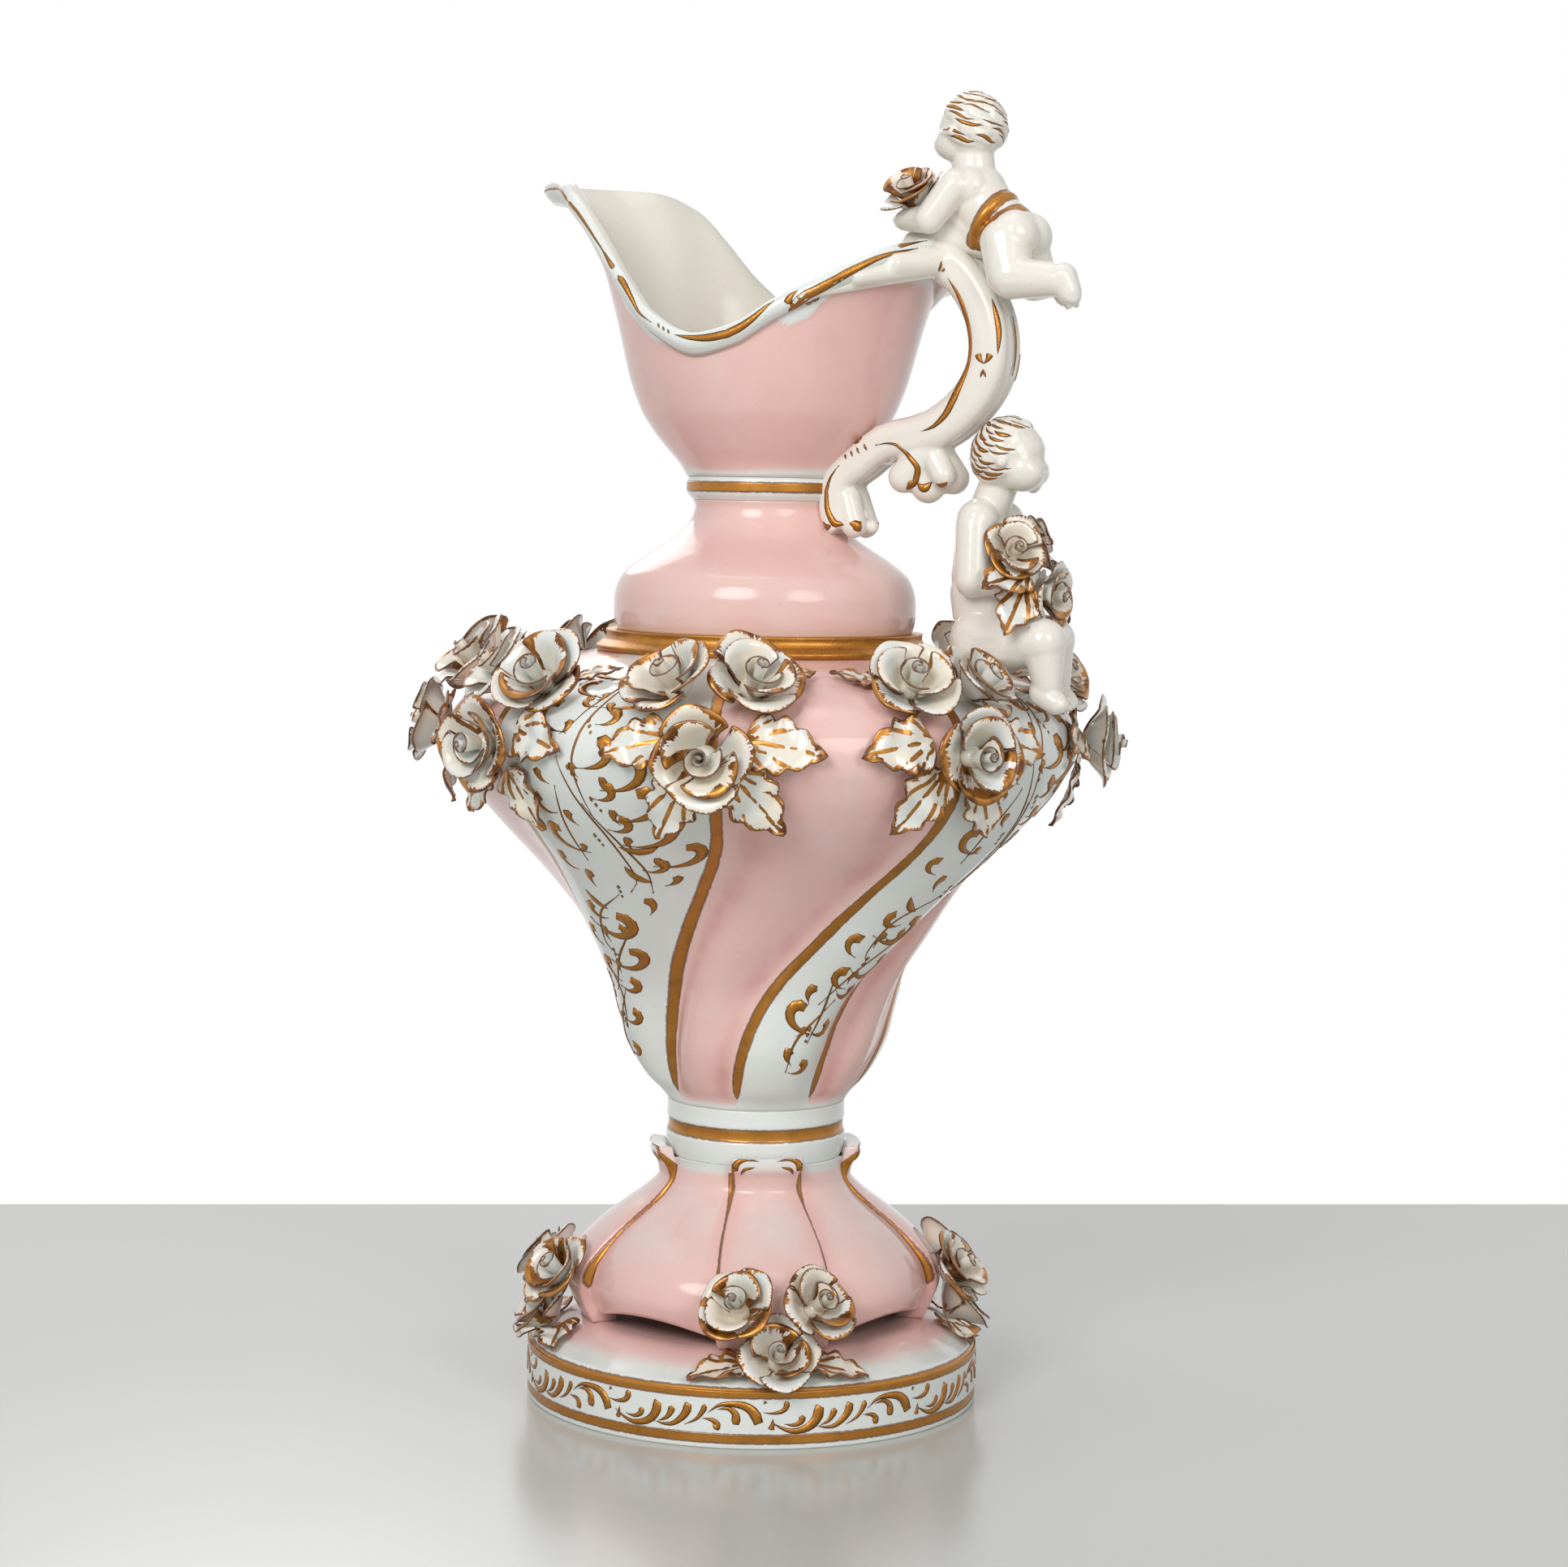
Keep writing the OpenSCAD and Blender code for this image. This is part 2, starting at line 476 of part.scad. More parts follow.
// Sitting cherub. Places and sizes are shares of its height, from its seat, outward, across and up
sit_ball_shares = [[[0.1, 0.062, 0.12], 0.134], [[0.1, -0.062, 0.12], 0.134], [[0.08, 0, 0.3], 0.142],
    [[0.04, 0, 0.5], 0.13], [[0.115, 0, 0.83], 0.143], [[0.15, 0, 0.8], 0.12], [[0.083, 0, 0.838], 0.13],
    [[0.26, 0, 0.8], 0.026]];
sit_limb_shares = [
    [[0.03, 0.11, 0.62], [0.03, -0.11, 0.62], 0.075, 0.075], [[0.06, 0, 0.6], [0.1, 0, 0.78], 0.075, 0.065],
    [[0.05, 0, 0.5], [0.08, 0, 0.3], 0.13, 0.14],
    [[0.1, -0.08, 0.14], [0.31, -0.09, 0.165], 0.1, 0.08],
        [[0.31, -0.09, 0.165], [0.36, -0.085, -0.02], 0.07, 0.045],
    [[0.35, -0.085, -0.04], [0.43, -0.1, -0.085], 0.042, 0.034],
    [[0.1, 0.08, 0.14], [0.31, 0.09, 0.15], 0.1, 0.08],
        [[0.31, 0.09, 0.15], [0.36, 0.07, -0.02], 0.07, 0.045],
    [[0.35, 0.07, -0.04], [0.43, 0.08, -0.085], 0.042, 0.034],
    [[0.03, -0.14, 0.61], [0.03, -0.19, 0.35], 0.06, 0.052],
        [[0.03, -0.19, 0.35], [0.24, -0.05, 0.36], 0.05, 0.04],
    [[0.03, 0.14, 0.61], [0.03, 0.19, 0.35], 0.06, 0.052],
        [[0.03, 0.19, 0.35], [0.24, 0.05, 0.36], 0.05, 0.04]];
// Height of the shoulder at a share of the body's radius, where the cherub's seat comes; its place follows
// the body and the handle, whichever reaches further
shoulder_height_shares = [[0.668, 0.98], [0.79, 0.955], [0.885, 0.925], [0.95, 0.89], [0.988, 0.85],
    [1, 0.8]];
sit_sink_share = 0.0023;
sit_x = max(body_rad * 0.73, handle_reach * 0.857);
sit_z = z_body + body_h * (lookup(sit_x / body_rad, shoulder_height_shares) - sit_sink_share);
function sit_point(p) = [sit_x, 0, sit_z] + sitter_h * p;

module lower_cherub() {
    color(white_glaze)
        union() {
            for (b = sit_ball_shares)
                translate(sit_point(b[0])) sphere(r = sitter_h * b[1], $fn = 12);
            for (l = sit_limb_shares)
                blob(sit_point(l[0]), sit_point(l[1]), sitter_h * l[2], sitter_h * l[3]);
        }
}

// Lying cherub. Places and sizes are shares of its length, from the handle's crown
lie_ball_shares = [[[0, 0, 0.59], 0.175], [[-0.05, 0.02, 0.56], 0.145], [[0.02, 0, 0.61], 0.165],
    [[0.03, 0, 0.27], 0.15], [[0.12, 0, 0.125], 0.164], [[0.28, 0.08, 0.08], 0.135],
        [[0.28, -0.08, 0.08], 0.135]];
lie_limb_shares = [
    [[-0.01, 0.1, 0.31], [-0.01, -0.1, 0.31], 0.085, 0.085], [[0, 0, 0.3], [0, 0, 0.47], 0.085, 0.08],
    [[0.03, 0, 0.26], [0.24, 0, 0.12], 0.14, 0.14],
    [[0.27, -0.09, 0.06], [0.245, -0.165, -0.14], 0.125, 0.1],
    [[0.245, -0.165, -0.14], [0.53, -0.15, -0.13], 0.085, 0.06],
    [[0.54, -0.15, -0.13], [0.6, -0.15, -0.2], 0.052, 0.045],
    [[0.27, 0.09, 0.06], [0.25, 0.17, -0.12], 0.125, 0.1],
        [[0.25, 0.17, -0.12], [0.5, 0.19, -0.09], 0.085, 0.06],
    [[0.51, 0.19, -0.09], [0.57, 0.19, -0.16], 0.052, 0.045],
    [[-0.01, -0.15, 0.3], [-0.14, -0.19, 0.138], 0.075, 0.068],
        [[-0.14, -0.19, 0.138], [-0.36, -0.1, 0.13], 0.062, 0.05],
    [[-0.01, 0.15, 0.3], [-0.14, 0.19, 0.138], 0.075, 0.068],
        [[-0.14, 0.19, 0.138], [-0.34, 0.09, 0.14], 0.062, 0.05]];
lie_crown_share = 0.8;
function lie_point(p) = [handle_reach * lie_crown_share, 0, z_mouth + back_h * 0.94] + lier_l * p;

module upper_cherub() {
    color(white_glaze)
        union() {
            for (b = lie_ball_shares)
                translate(lie_point(b[0])) sphere(r = lier_l * b[1], $fn = 12);
            for (l = lie_limb_shares) blob(lie_point(l[0]), lie_point(l[1]), lier_l * l[2], lier_l * l[3]);
            // Gilt cloth round the waist
            translate(lie_point([0.17, 0, 0.145]))
                rotate([0, 50, 0])
                    rotate_extrude($fn = 18)
                        translate([lier_l * 0.152, 0]) circle(r = lier_l * 0.03, $fn = 6);
        }
}

// Roses: rolled buds with curled petals

// Radius and height of the bud, and of the petal strips round it, as shares of the rose's diameter
bud_form_shares = [[0, -0.16], [0.11, -0.117], [0.155, -0.012], [0.2, 0.07], [0.205, 0.17], [0.165, 0.31],
    [0.12, 0.38], [0, 0.33]];
outer_petal_shares = [[0.1, -0.1], [0.23, -0.05], [0.33, 0.06], [0.42, 0.115], [0.5, 0.095], [0.498, 0.14],
    [0.42, 0.165], [0.32, 0.11], [0.2, 0.02], [0.1, -0.03]];
inner_petal_shares = [[0.1, 0.0], [0.23, 0.05], [0.27, 0.19], [0.31, 0.29], [0.38, 0.315], [0.375, 0.355],
    [0.3, 0.335], [0.235, 0.23], [0.18, 0.1], [0.1, 0.05]];
scroll_wall_shares = [[0, 0.14], [0.045, 0.14], [0.03, 0.47], [0, 0.47]];

module petal_strip(shares, d, start, span) {
    rotate([0, 0, start]) rotate_extrude(angle = span) polygon([for (p = shares) d * p]);
}

// Half a turn of the bud's scroll, about a middle of its own
module scroll_turn(d, shift_share, r_share, start) {
    translate([d * shift_share, 0, 0])
        rotate([0, 0, start])
            rotate_extrude(angle = 180)
                polygon([for (p = scroll_wall_shares) [d * (r_share + p[0]), d * p[1]]]);
}

module rose(d, turn = 0) {
    rotate([0, 0, turn]) {
        rotate_extrude() polygon([for (p = bud_form_shares) d * p]);
        scroll_turn(d, 0, 0.15, 0);
        scroll_turn(d, 0.025, 0.125, 180);
        scroll_turn(d, 0.025, 0.05, 0);
        for (k = [0:2]) petal_strip(inner_petal_shares, d, k * 120 + 10, 98);
        for (k = [0:3]) petal_strip(outer_petal_shares, d, k * 90 + 35, 78);
    }
}

// Puts its child on a surface point: x across, y up the slope, z along the given lean
module standing(a, r, z, lean, yaw = 0) {
    rotate([0, 0, a])
        multmatrix([[0, -sin(lean), cos(lean), r], [1, 0, 0, 0], [0, cos(lean), sin(lean), z],
            [0, 0, 0, 1]])
            rotate([0, yaw, 0]) children();
}

// A rose whose round base rests on the body at angle a and height z
module rose_on_body(a, z, lean, yaw, turn) {
    s = body_slope(z);
    k = sqrt(1 + s * s);
    lift = rose_d * 0.16 + seat_gap;
    standing(a, body_r(a, z) + lift / k, z - lift * s / k, lean, yaw) rose(rose_d, turn);
}

// The two clusters beside the sitting cherub stand a little away from its legs
cluster_shift_angles = [2.4, 0, 0, 0, 0, 0, 0, -1];
function cluster_angle(k) = cluster_start_angle + 45 * k + cluster_shift_angles[k];

// Angle from the cluster's middle, height on the body as a share, lean, sideways yaw and turn
cluster_rose_shares = [[-7.6, 0.925, 44, -16, 20], [6.4, 0.93, 42, 16, 75], [-0.8, 0.815, 6, 0, 0]];

module shoulder_roses(k) {
    flip = k % 2 == 0 ? 1 : -1;
    color(ivory_glaze)
        for (p = cluster_rose_shares)
            rose_on_body(cluster_angle(k) + p[0] * flip, z_body + body_h * p[1], p[2], p[3] * flip,
                p[4] + 40 * k);
}

// Leaves: lobed, folded along the midrib

// Length and half width along the edge from root to tip, and its wave, as shares of the leaf's length
leaf_edge_shares = [[0, 0, 0], [0.1, 0.2, 0.03], [0.27, 0.36, -0.02], [0.42, 0.33, 0.05],
    [0.57, 0.35, -0.01],
    [0.72, 0.22, 0.04], [0.86, 0.17, 0], [1, 0, 0.02]];
leaf_rib_shares = [0.22, 0.5, 0.76];
leaf_half_faces = [[0, 1, 8], [1, 2, 8], [2, 9, 8], [2, 3, 9], [3, 4, 9], [4, 10, 9], [4, 5, 10],
    [5, 6, 10],
    [6, 7, 10]];

// A leaf that lies along +X and bends down to follow a surface of the given radius
module leaf(l, bend_r, cup = 0.06) {
    thick = l * 0.05;
    function bend(p) = [p[0], p[1], p[2] - (p[0] * p[0] + p[1] * p[1]) / (2 * bend_r)];
    function side(s) = [for (e = leaf_edge_shares) bend([l * e[0], l * e[1] * s,
        l * (e[2] * s + cup * e[1] / 0.36)])];
    function rib(h) = [for (x = leaf_rib_shares) bend([l * x, 0, h])];
    e = len(leaf_edge_shares);
    pts = concat(side(1), rib(thick), side(-1), rib(-thick / 3));
    n = e + 3;
    function left(i) = i;
    function right(i) = i == 0 || i == e - 1 ? i : i < e ? n + i : i;
    function left_low(i) = i < e ? i : n + i;
    function right_low(i) = i == 0 || i == e - 1 ? i : n + i;
    polyhedron(points = pts,
        faces = concat([for (f = leaf_half_faces) [left(f[0]), left(f[1]), left(f[2])]],
            [for (f = leaf_half_faces) [right(f[0]), right(f[2]), right(f[1])]],
            [for (f = leaf_half_faces) [left_low(f[0]), left_low(f[2]), left_low(f[1])]],
            [for (f = leaf_half_faces) [right_low(f[0]), right_low(f[1]), right_low(f[2])]]),
        convexity = 4);
}

// A leaf that lies on the body from a root point, in a heading on the surface
module leaf_on_body(a, z, heading, l, tilt) {
    s = body_slope(z);
    k = sqrt(1 + s * s);
    lift = seat_gap * 2;
    standing(a, body_r(a, z) + lift / k, z - lift * s / k, atan(-s))
        rotate([0, 0, heading]) rotate([0, -tilt, 0]) leaf(l, body_rad * 0.9);
}

// Angle from the cluster's middle, height on the body as a share, heading, length and how far the tip lifts
cluster_leaf_shares = [[-6.6, 0.85, 194, 0.95, 6], [5.4, 0.85, -10, 1.05, 6], [3.2, 0.79, -50, 1.05, 5],
    [-4.4, 0.775, -116, 0.95, 5], [11, 0.955, 30, 0.6, 8], [-11, 0.95, 150, 0.58, 8]];

module shoulder_leaves(k) {
    flip = k % 2 == 0 ? 1 : -1;
    color(ivory_glaze)
        // Beside the sitting cherub there is no room for the upper leaf on its side
        for (p = cluster_leaf_shares) if (p[0] > -10 || (k != 0 && k != 7))
            leaf_on_body(cluster_angle(k) + p[0] * flip, z_body + body_h * p[1],
                flip > 0 ? p[2] : 180 - p[2], leaf_l * p[3], p[4]);
}

// Clusters on the plinth, one in front of each leg

function plinth_z(r) = plinth_side_h + plinth_rise * lookup(r / plinth_r, plinth_top_shares);
function leg_r(z) = foot_d / 2 * lookup((z - z_foot) / foot_h, leg_form_shares);
foot_rose_shares = [[-10.5, 0.27, 38, -14], [10.5, 0.28, 38, 14]];

module foot_roses(k) {
    a = leg_start_angle + 90 * k;
    ball = foot_rose_d * 0.16;
    low_r = plinth_r * 0.91;
    color(ivory_glaze) {
        for (p = foot_rose_shares)
            standing(a + p[0], leg_r(z_foot + foot_h * p[1]) + ball + seat_gap, z_foot + foot_h * p[1],
                p[2], p[3])
                rose(foot_rose_d, 30 * k + p[0]);
        standing(a, low_r, plinth_z(low_r) + ball + seat_gap * 3, 40) rose(foot_rose_d, 50 * k);
    }
}

module foot_leaves(k) {
    a = leg_start_angle + 90 * k;
    r = plinth_r * 0.87;
    color(ivory_glaze)
        for (s = [-1, 1])
            standing(a + s * 8, r, plinth_z(r) + seat_gap * 2, 72)
                rotate([0, 0, s > 0 ? -22 : 202]) leaf(foot_leaf_l, plinth_r * 3, 0.1);
}

// Flowers that the cherubs hold

// Point beside a ball of the cherub: the ball's centre and radius, a direction, and what stands off it
function beside(c, r, d, off) = c + (r + off + seat_gap) * d / norm(d);

// Place and radius on the cherub as shares, direction from there, lean and yaw of each rose
bouquet_shares = [[[0.04, 0, 0.5], 0.13, [0.86, -0.5, 0.08], 32, -38],
    [[0.04, 0, 0.5], 0.13, [0.84, 0.5, 0.12], 34, 36],
    [[0.24, -0.05, 0.36], 0.04, [0.62, 0.62, -0.34], -4, 0]];
// The same of each leaf, then its heading
bouquet_leaf_shares = [[[0.24, -0.05, 0.36], 0.04, [-0.2, -0.6, 1], 50, -12, 176],
    [[0.24, -0.05, 0.36], 0.04, [0.1, -1, 0], 44, -30, 212],
    [[0.24, 0.05, 0.36], 0.04, [0.1, 1, 0], 44, 30, -32]];

module lower_cherub_roses() {
    ball = held_rose_d * 0.16;
    color(ivory_glaze)
        for (p = bouquet_shares) let (q = beside(sit_point(p[0]), sitter_h * p[1], p[2], ball))
            translate([0, q[1], 0]) standing(0, q[0], q[2], p[3], p[4]) rose(held_rose_d, p[4]);
}

module lower_cherub_leaves() {
    color(ivory_glaze)
        for (p = bouquet_leaf_shares) let (q = beside(sit_point(p[0]), sitter_h * p[1], p[2], seat_gap))
            translate([0, q[1], 0]) standing(0, q[0], q[2], p[3], p[4]) rotate([0, 0, p[5]])
                leaf(held_rose_d, body_rad);
}

module upper_cherub_roses() {
    d = held_rose_d * 0.9;
    q = beside(lie_point(lie_limb_shares[10][1]), lier_l * lie_limb_shares[10][3], [0.05, 0.25, 1],
        d * 0.16);
    color(ivory_glaze)
        translate([0, q[1], 0]) standing(0, q[0], q[2], 100, -28) rose(d, 20);
}

plinth();
foot();
stem_collar();
body();
shoulder_ring();
neck_bulb();
neck_collar();
mouth();
handle();
upper_cherub();
lower_cherub();
upper_cherub_roses();
lower_cherub_roses();
lower_cherub_leaves();
shoulder_roses(0);  // shoulder_roses_1
shoulder_roses(1);  // shoulder_roses_2
shoulder_roses(2);  // shoulder_roses_3
shoulder_roses(3);  // shoulder_roses_4
shoulder_roses(4);  // shoulder_roses_5
shoulder_roses(5);  // shoulder_roses_6
shoulder_roses(6);  // shoulder_roses_7
shoulder_roses(7);  // shoulder_roses_8
shoulder_leaves(0);  // shoulder_leaves_1
shoulder_leaves(1);  // shoulder_leaves_2
shoulder_leaves(2);  // shoulder_leaves_3
shoulder_leaves(3);  // shoulder_leaves_4
shoulder_leaves(4);  // shoulder_leaves_5
shoulder_leaves(5);  // shoulder_leaves_6
shoulder_leaves(6);  // shoulder_leaves_7
shoulder_leaves(7);  // shoulder_leaves_8
foot_roses(0);  // foot_roses_1
foot_roses(1);  // foot_roses_2
foot_roses(2);  // foot_roses_3
foot_roses(3);  // foot_roses_4
foot_leaves(0);  // foot_leaves_1
foot_leaves(1);  // foot_leaves_2
foot_leaves(2);  // foot_leaves_3
foot_leaves(3);  // foot_leaves_4
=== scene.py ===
"""Porcelain jug: swirled baluster body, long spout, scroll handle, two cherubs and applied roses."""

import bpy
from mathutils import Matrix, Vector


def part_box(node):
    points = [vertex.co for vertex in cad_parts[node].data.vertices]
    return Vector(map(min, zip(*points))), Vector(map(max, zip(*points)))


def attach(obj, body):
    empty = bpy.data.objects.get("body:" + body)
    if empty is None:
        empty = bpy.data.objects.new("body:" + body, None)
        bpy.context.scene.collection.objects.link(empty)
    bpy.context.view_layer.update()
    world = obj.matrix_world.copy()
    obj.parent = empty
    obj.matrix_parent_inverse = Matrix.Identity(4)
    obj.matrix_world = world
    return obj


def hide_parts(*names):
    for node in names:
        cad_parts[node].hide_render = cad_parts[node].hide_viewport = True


bl_info = {
    "name": "Porcelain jug",
    "version": (1, 0, 0),
    "blender": (4, 5, 0),
    "location": "View3D > Sidebar > Jug",
    "description": "Models, glazes and gilds a porcelain jug on its packed solids",
    "category": "Object",
}

import math
import random

import bmesh
import bpy
from bpy.props import FloatProperty, FloatVectorProperty, IntProperty, PointerProperty
from mathutils import Matrix, Vector, noise
from mathutils.bvhtree import BVHTree

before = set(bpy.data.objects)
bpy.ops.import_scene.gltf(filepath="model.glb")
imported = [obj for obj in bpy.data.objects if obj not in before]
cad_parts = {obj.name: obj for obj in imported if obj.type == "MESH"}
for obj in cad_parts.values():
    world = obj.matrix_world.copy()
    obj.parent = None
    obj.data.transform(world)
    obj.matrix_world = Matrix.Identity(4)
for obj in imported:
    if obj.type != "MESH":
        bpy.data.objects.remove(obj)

MM = 0.001
TURN = 2 * math.pi

# Sizes of the construction, in millimetres and degrees
BODY_R, BODY_WALL = 138.5, 6
LOBE_DEPTH, LOBE_TWIST, LOBE_START, LOBE_EDGE, GROOVE_DEPTH = 6.5, 48, -1.5, 22.5, 9
PLINTH_R, PLINTH_RISE, PLINTH_WALL, VENT_R = 98, 11, 6, 9
FOOT_R, FOOT_H, FOOT_WALL, LEG_ANGLE, LEG_START = 81.5, 70, 6, 35, 36.5
STEM_R, STEM_WALL, RING_R, BULB_R, WAIST_R, NECK_R, NECK_WALL = 38.5, 7, 71.5, 65, 30.5, 34.5, 5
MOUTH_R, SPOUT_REACH, SPOUT_RISE, DIP_RISE, RIM_ROLL, MOUTH_WALL = 67, 110, 68, 56, 7, 5
HANDLE_REACH, BAND_W, BAND_T = 118, 22, 15
BORE_R = RING_R - 2 * NECK_WALL

# Columns of points round a turned piece
COLLAR_COLUMNS, RING_COLUMNS, WIDE_COLUMNS = 160, 192, 240


def corner(node, side, axis):
    """A side of a solid's box, in millimetres"""
    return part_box(node)[side][axis] / MM


# Heights of the joints between the pieces
Z_STEM = corner("stem_collar", 0, 2)
Z_FOOT = Z_STEM - FOOT_H
Z_BODY = corner("stem_collar", 1, 2)
Z_RING = corner("shoulder_ring", 0, 2)
Z_BULB = corner("shoulder_ring", 1, 2)
Z_NECK = corner("neck_collar", 0, 2)
Z_MOUTH = corner("neck_collar", 1, 2)
Z_DIP = Z_MOUTH + DIP_RISE
BODY_H = Z_RING - Z_BODY


# Curves through tables of sizes

class Curve:
    """A smooth curve through rising places and their values, which never swings past a value"""

    def __init__(self, places, values):
        self.x, self.y = list(places), list(values)
        n = len(self.x)
        step = [(self.y[i + 1] - self.y[i]) / (self.x[i + 1] - self.x[i]) for i in range(n - 1)]
        self.m = [step[0]]
        for i in range(1, n - 1):
            a, b = step[i - 1], step[i]
            self.m.append(0 if a * b <= 0 else 2 * a * b / (a + b))
        self.m.append(step[-1])

    def __call__(self, x):
        xs = self.x
        if x <= xs[0]:
            return self.y[0]
        if x >= xs[-1]:
            return self.y[-1]
        i = 0
        while xs[i + 1] < x:
            i += 1
        h = xs[i + 1] - xs[i]
        t = (x - xs[i]) / h
        a, b, p, q = self.y[i], self.y[i + 1], self.m[i] * h, self.m[i + 1] * h
        return a + t * (p + t * (3 * (b - a) - 2 * p - q + t * (2 * (a - b) + p + q)))


def curve(pairs, column=1):
    """A smooth curve through rows of a table: the places are in its first column"""
    return Curve([p[0] for p in pairs], [p[column] for p in pairs])


def along(values):
    """A smooth curve through values at equal steps"""
    return Curve(range(len(values)), values)


def mix(a, b, t):
    """From a to b as t goes from 0 to 1"""
    return a + (b - a) * t


def ease(t):
    """From 0 to 1 with a gentle start and end"""
    t = min(1.0, max(0.0, t))
    return t * t * (3 - 2 * t)


def swing(angle):
    """The same angle between -180 and 180"""
    return (angle + 180) % 360 - 180


def polar(r, angle, z):
    """A point by its distance from the jug's axis, its angle round it and its height"""
    a = math.radians(angle)
    return Vector((r * math.cos(a), r * math.sin(a), z))


def smooth_path(points, count):
    """Evenly spaced points on a smooth line through a few points"""
    pts = [Vector(p) for p in points]
    if len(pts) == 2:
        return [pts[0].lerp(pts[1], i / count) for i in range(count + 1)]
    ends = [pts[0] * 2 - pts[1]] + pts + [pts[-1] * 2 - pts[-2]]
    fine, steps = [], 12
    for i in range(1, len(ends) - 2):
        a, b, c, d = ends[i - 1:i + 3]
        for k in range(steps):
            t = k / steps
            fine.append(0.5 * (2 * b + (c - a) * t + (2 * a - 5 * b + 4 * c - d) * t ** 2
                               + (3 * b - a - 3 * c + d) * t ** 3))
    fine.append(pts[-1])
    reach = [0]
    for a, b in zip(fine, fine[1:]):
        reach.append(reach[-1] + (b - a).length)
    out, j = [], 0
    for i in range(count + 1):
        goal = reach[-1] * i / count
        while j < len(reach) - 2 and reach[j + 1] < goal:
            j += 1
        out.append(fine[j].lerp(fine[j + 1], (goal - reach[j]) / max(1e-6, reach[j + 1] - reach[j])))
    return out


# Modelling tools

# Grain of the melted forms, in millimetres
HANDLE_VOXEL, CHERUB_VOXEL = 0.85, 0.62
# Marks of a point that lies far from any gold, and of one that lies far inside an edge
NO_GOLD, FAR_INSIDE = -1, 9


def spun_tube(rows, columns, ring=False):
    """A tube spun from one column of points, whose heights are their rows and angles give the columns"""
    bm = bmesh.new()
    column = [bm.verts.new((1, 0, j)) for j in range(rows)]
    edges = [bm.edges.new(pair) for pair in zip(column, column[1:])]
    if ring:
        edges.append(bm.edges.new((column[-1], column[0])))
    bmesh.ops.spin(bm, geom=column + edges, cent=(0, 0, 0), axis=(0, 0, 1), dvec=(0, 0, 0), angle=TURN,
                   steps=columns, use_merge=True, use_normal_flip=False, use_duplicate=False)
    return bm


def place_tube(bm, columns, place, marks=()):
    """Moves each point of a spun tube to place(column, row), which also gives the values of the marks"""
    layers = [bm.verts.layers.float.new(m) for m in marks]
    for v in bm.verts:
        i = round(math.atan2(v.co.y, v.co.x) / TURN * columns) % columns
        found = place(i, round(v.co.z))
        v.co = found[0]
        for layer, value in zip(layers, found[1:]):
            v[layer] = value
    bmesh.ops.remove_doubles(bm, verts=bm.verts, dist=1e-4)
    bmesh.ops.recalc_face_normals(bm, faces=bm.faces)
    return bm


def skin_of(bm):
    """What gilding and flowers are set against"""
    bm.normal_update()
    return BVHTree.FromBMesh(bm)


def smooth(bm, rounds):
    """Smooths a mesh all over"""
    for _ in range(rounds):
        bmesh.ops.smooth_vert(bm, verts=bm.verts, factor=0.5, use_axis_x=True, use_axis_y=True,
                              use_axis_z=True)


def mark_crease_grime_and_shade(bm, rounds, depth):
    """Marks dirt and painted shade where a surface lies in a crease, by how far smoothing would lift it"""
    layer = bm.verts.layers.float.get("dirt") or bm.verts.layers.float.new("dirt")
    bm.normal_update()
    before = [(v.co.copy(), v.normal.copy()) for v in bm.verts]
    smooth(bm, rounds)
    for v, (co, normal) in zip(bm.verts, before):
        v[layer] += max(0.0, (v.co - co).dot(normal) / depth)
        v.co = co


def keep(bm, name, skins, nodes=(), faces_out=True):
    """Makes the finished piece, in metres, on the jug's one body; skins are its materials"""
    if faces_out:
        bmesh.ops.recalc_face_normals(bm, faces=bm.faces)
    for mark, unmarked in (("gold", NO_GOLD), ("edge", FAR_INSIDE)):
        if not bm.verts.layers.float.get(mark):
            layer = bm.verts.layers.float.new(mark)
            for v in bm.verts:
                v[layer] = unmarked
    bmesh.ops.scale(bm, vec=(MM, MM, MM), verts=bm.verts)
    mesh = bpy.data.meshes.new(name)
    bm.to_mesh(mesh)
    bm.free()
    mesh.shade_smooth()
    for skin in skins:
        mesh.materials.append(skin)
    piece = bpy.data.objects.new(name, mesh)
    bpy.context.scene.collection.objects.link(piece)
    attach(piece, "root")
    if nodes:
        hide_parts(*nodes)
    return piece


def join(bm, other):
    """Adds another mesh in work to this one"""
    carrier = bpy.data.meshes.new("carrier")
    other.to_mesh(carrier)
    other.free()
    bm.from_mesh(carrier)
    bpy.data.meshes.remove(carrier)


def remeshed(bm, voxel, rounds):
    """Melts overlapping forms into one skin, as slip does, and smooths the joins"""
    mesh = bpy.data.meshes.new("melt")
    bm.to_mesh(mesh)
    bm.free()
    form = bpy.data.objects.new("melt", mesh)
    bpy.context.scene.collection.objects.link(form)
    melt = form.modifiers.new("melt", "REMESH")
    melt.mode = "VOXEL"
    melt.voxel_size = voxel
    bpy.context.view_layer.update()
    out = bmesh.new()
    out.from_object(form, bpy.context.evaluated_depsgraph_get())
    bpy.data.objects.remove(form)
    bpy.data.meshes.remove(mesh)
    smooth(out, rounds)
    return out


def limb(bm, a, b, ra, rb):
    """A rounded limb from a to b with a radius at each end"""
    a, b = Vector(a), Vector(b)
    d = (b - a).normalized()
    for v in bmesh.ops.create_icosphere(bm, subdivisions=3, radius=1)["verts"]:
        v.co = b + v.co * rb if v.co.dot(d) > 0 else a + v.co * ra


def ball(bm, c, r, stretch=(1, 1, 1)):
    """A ball round a centre, stretched along the axes"""
    made = bmesh.ops.create_icosphere(bm, subdivisions=3, radius=r)["verts"]
    bmesh.ops.transform(bm, matrix=Matrix.Translation(c) @ Matrix.Diagonal((*stretch, 1)), verts=made)
    return made


# Gilding

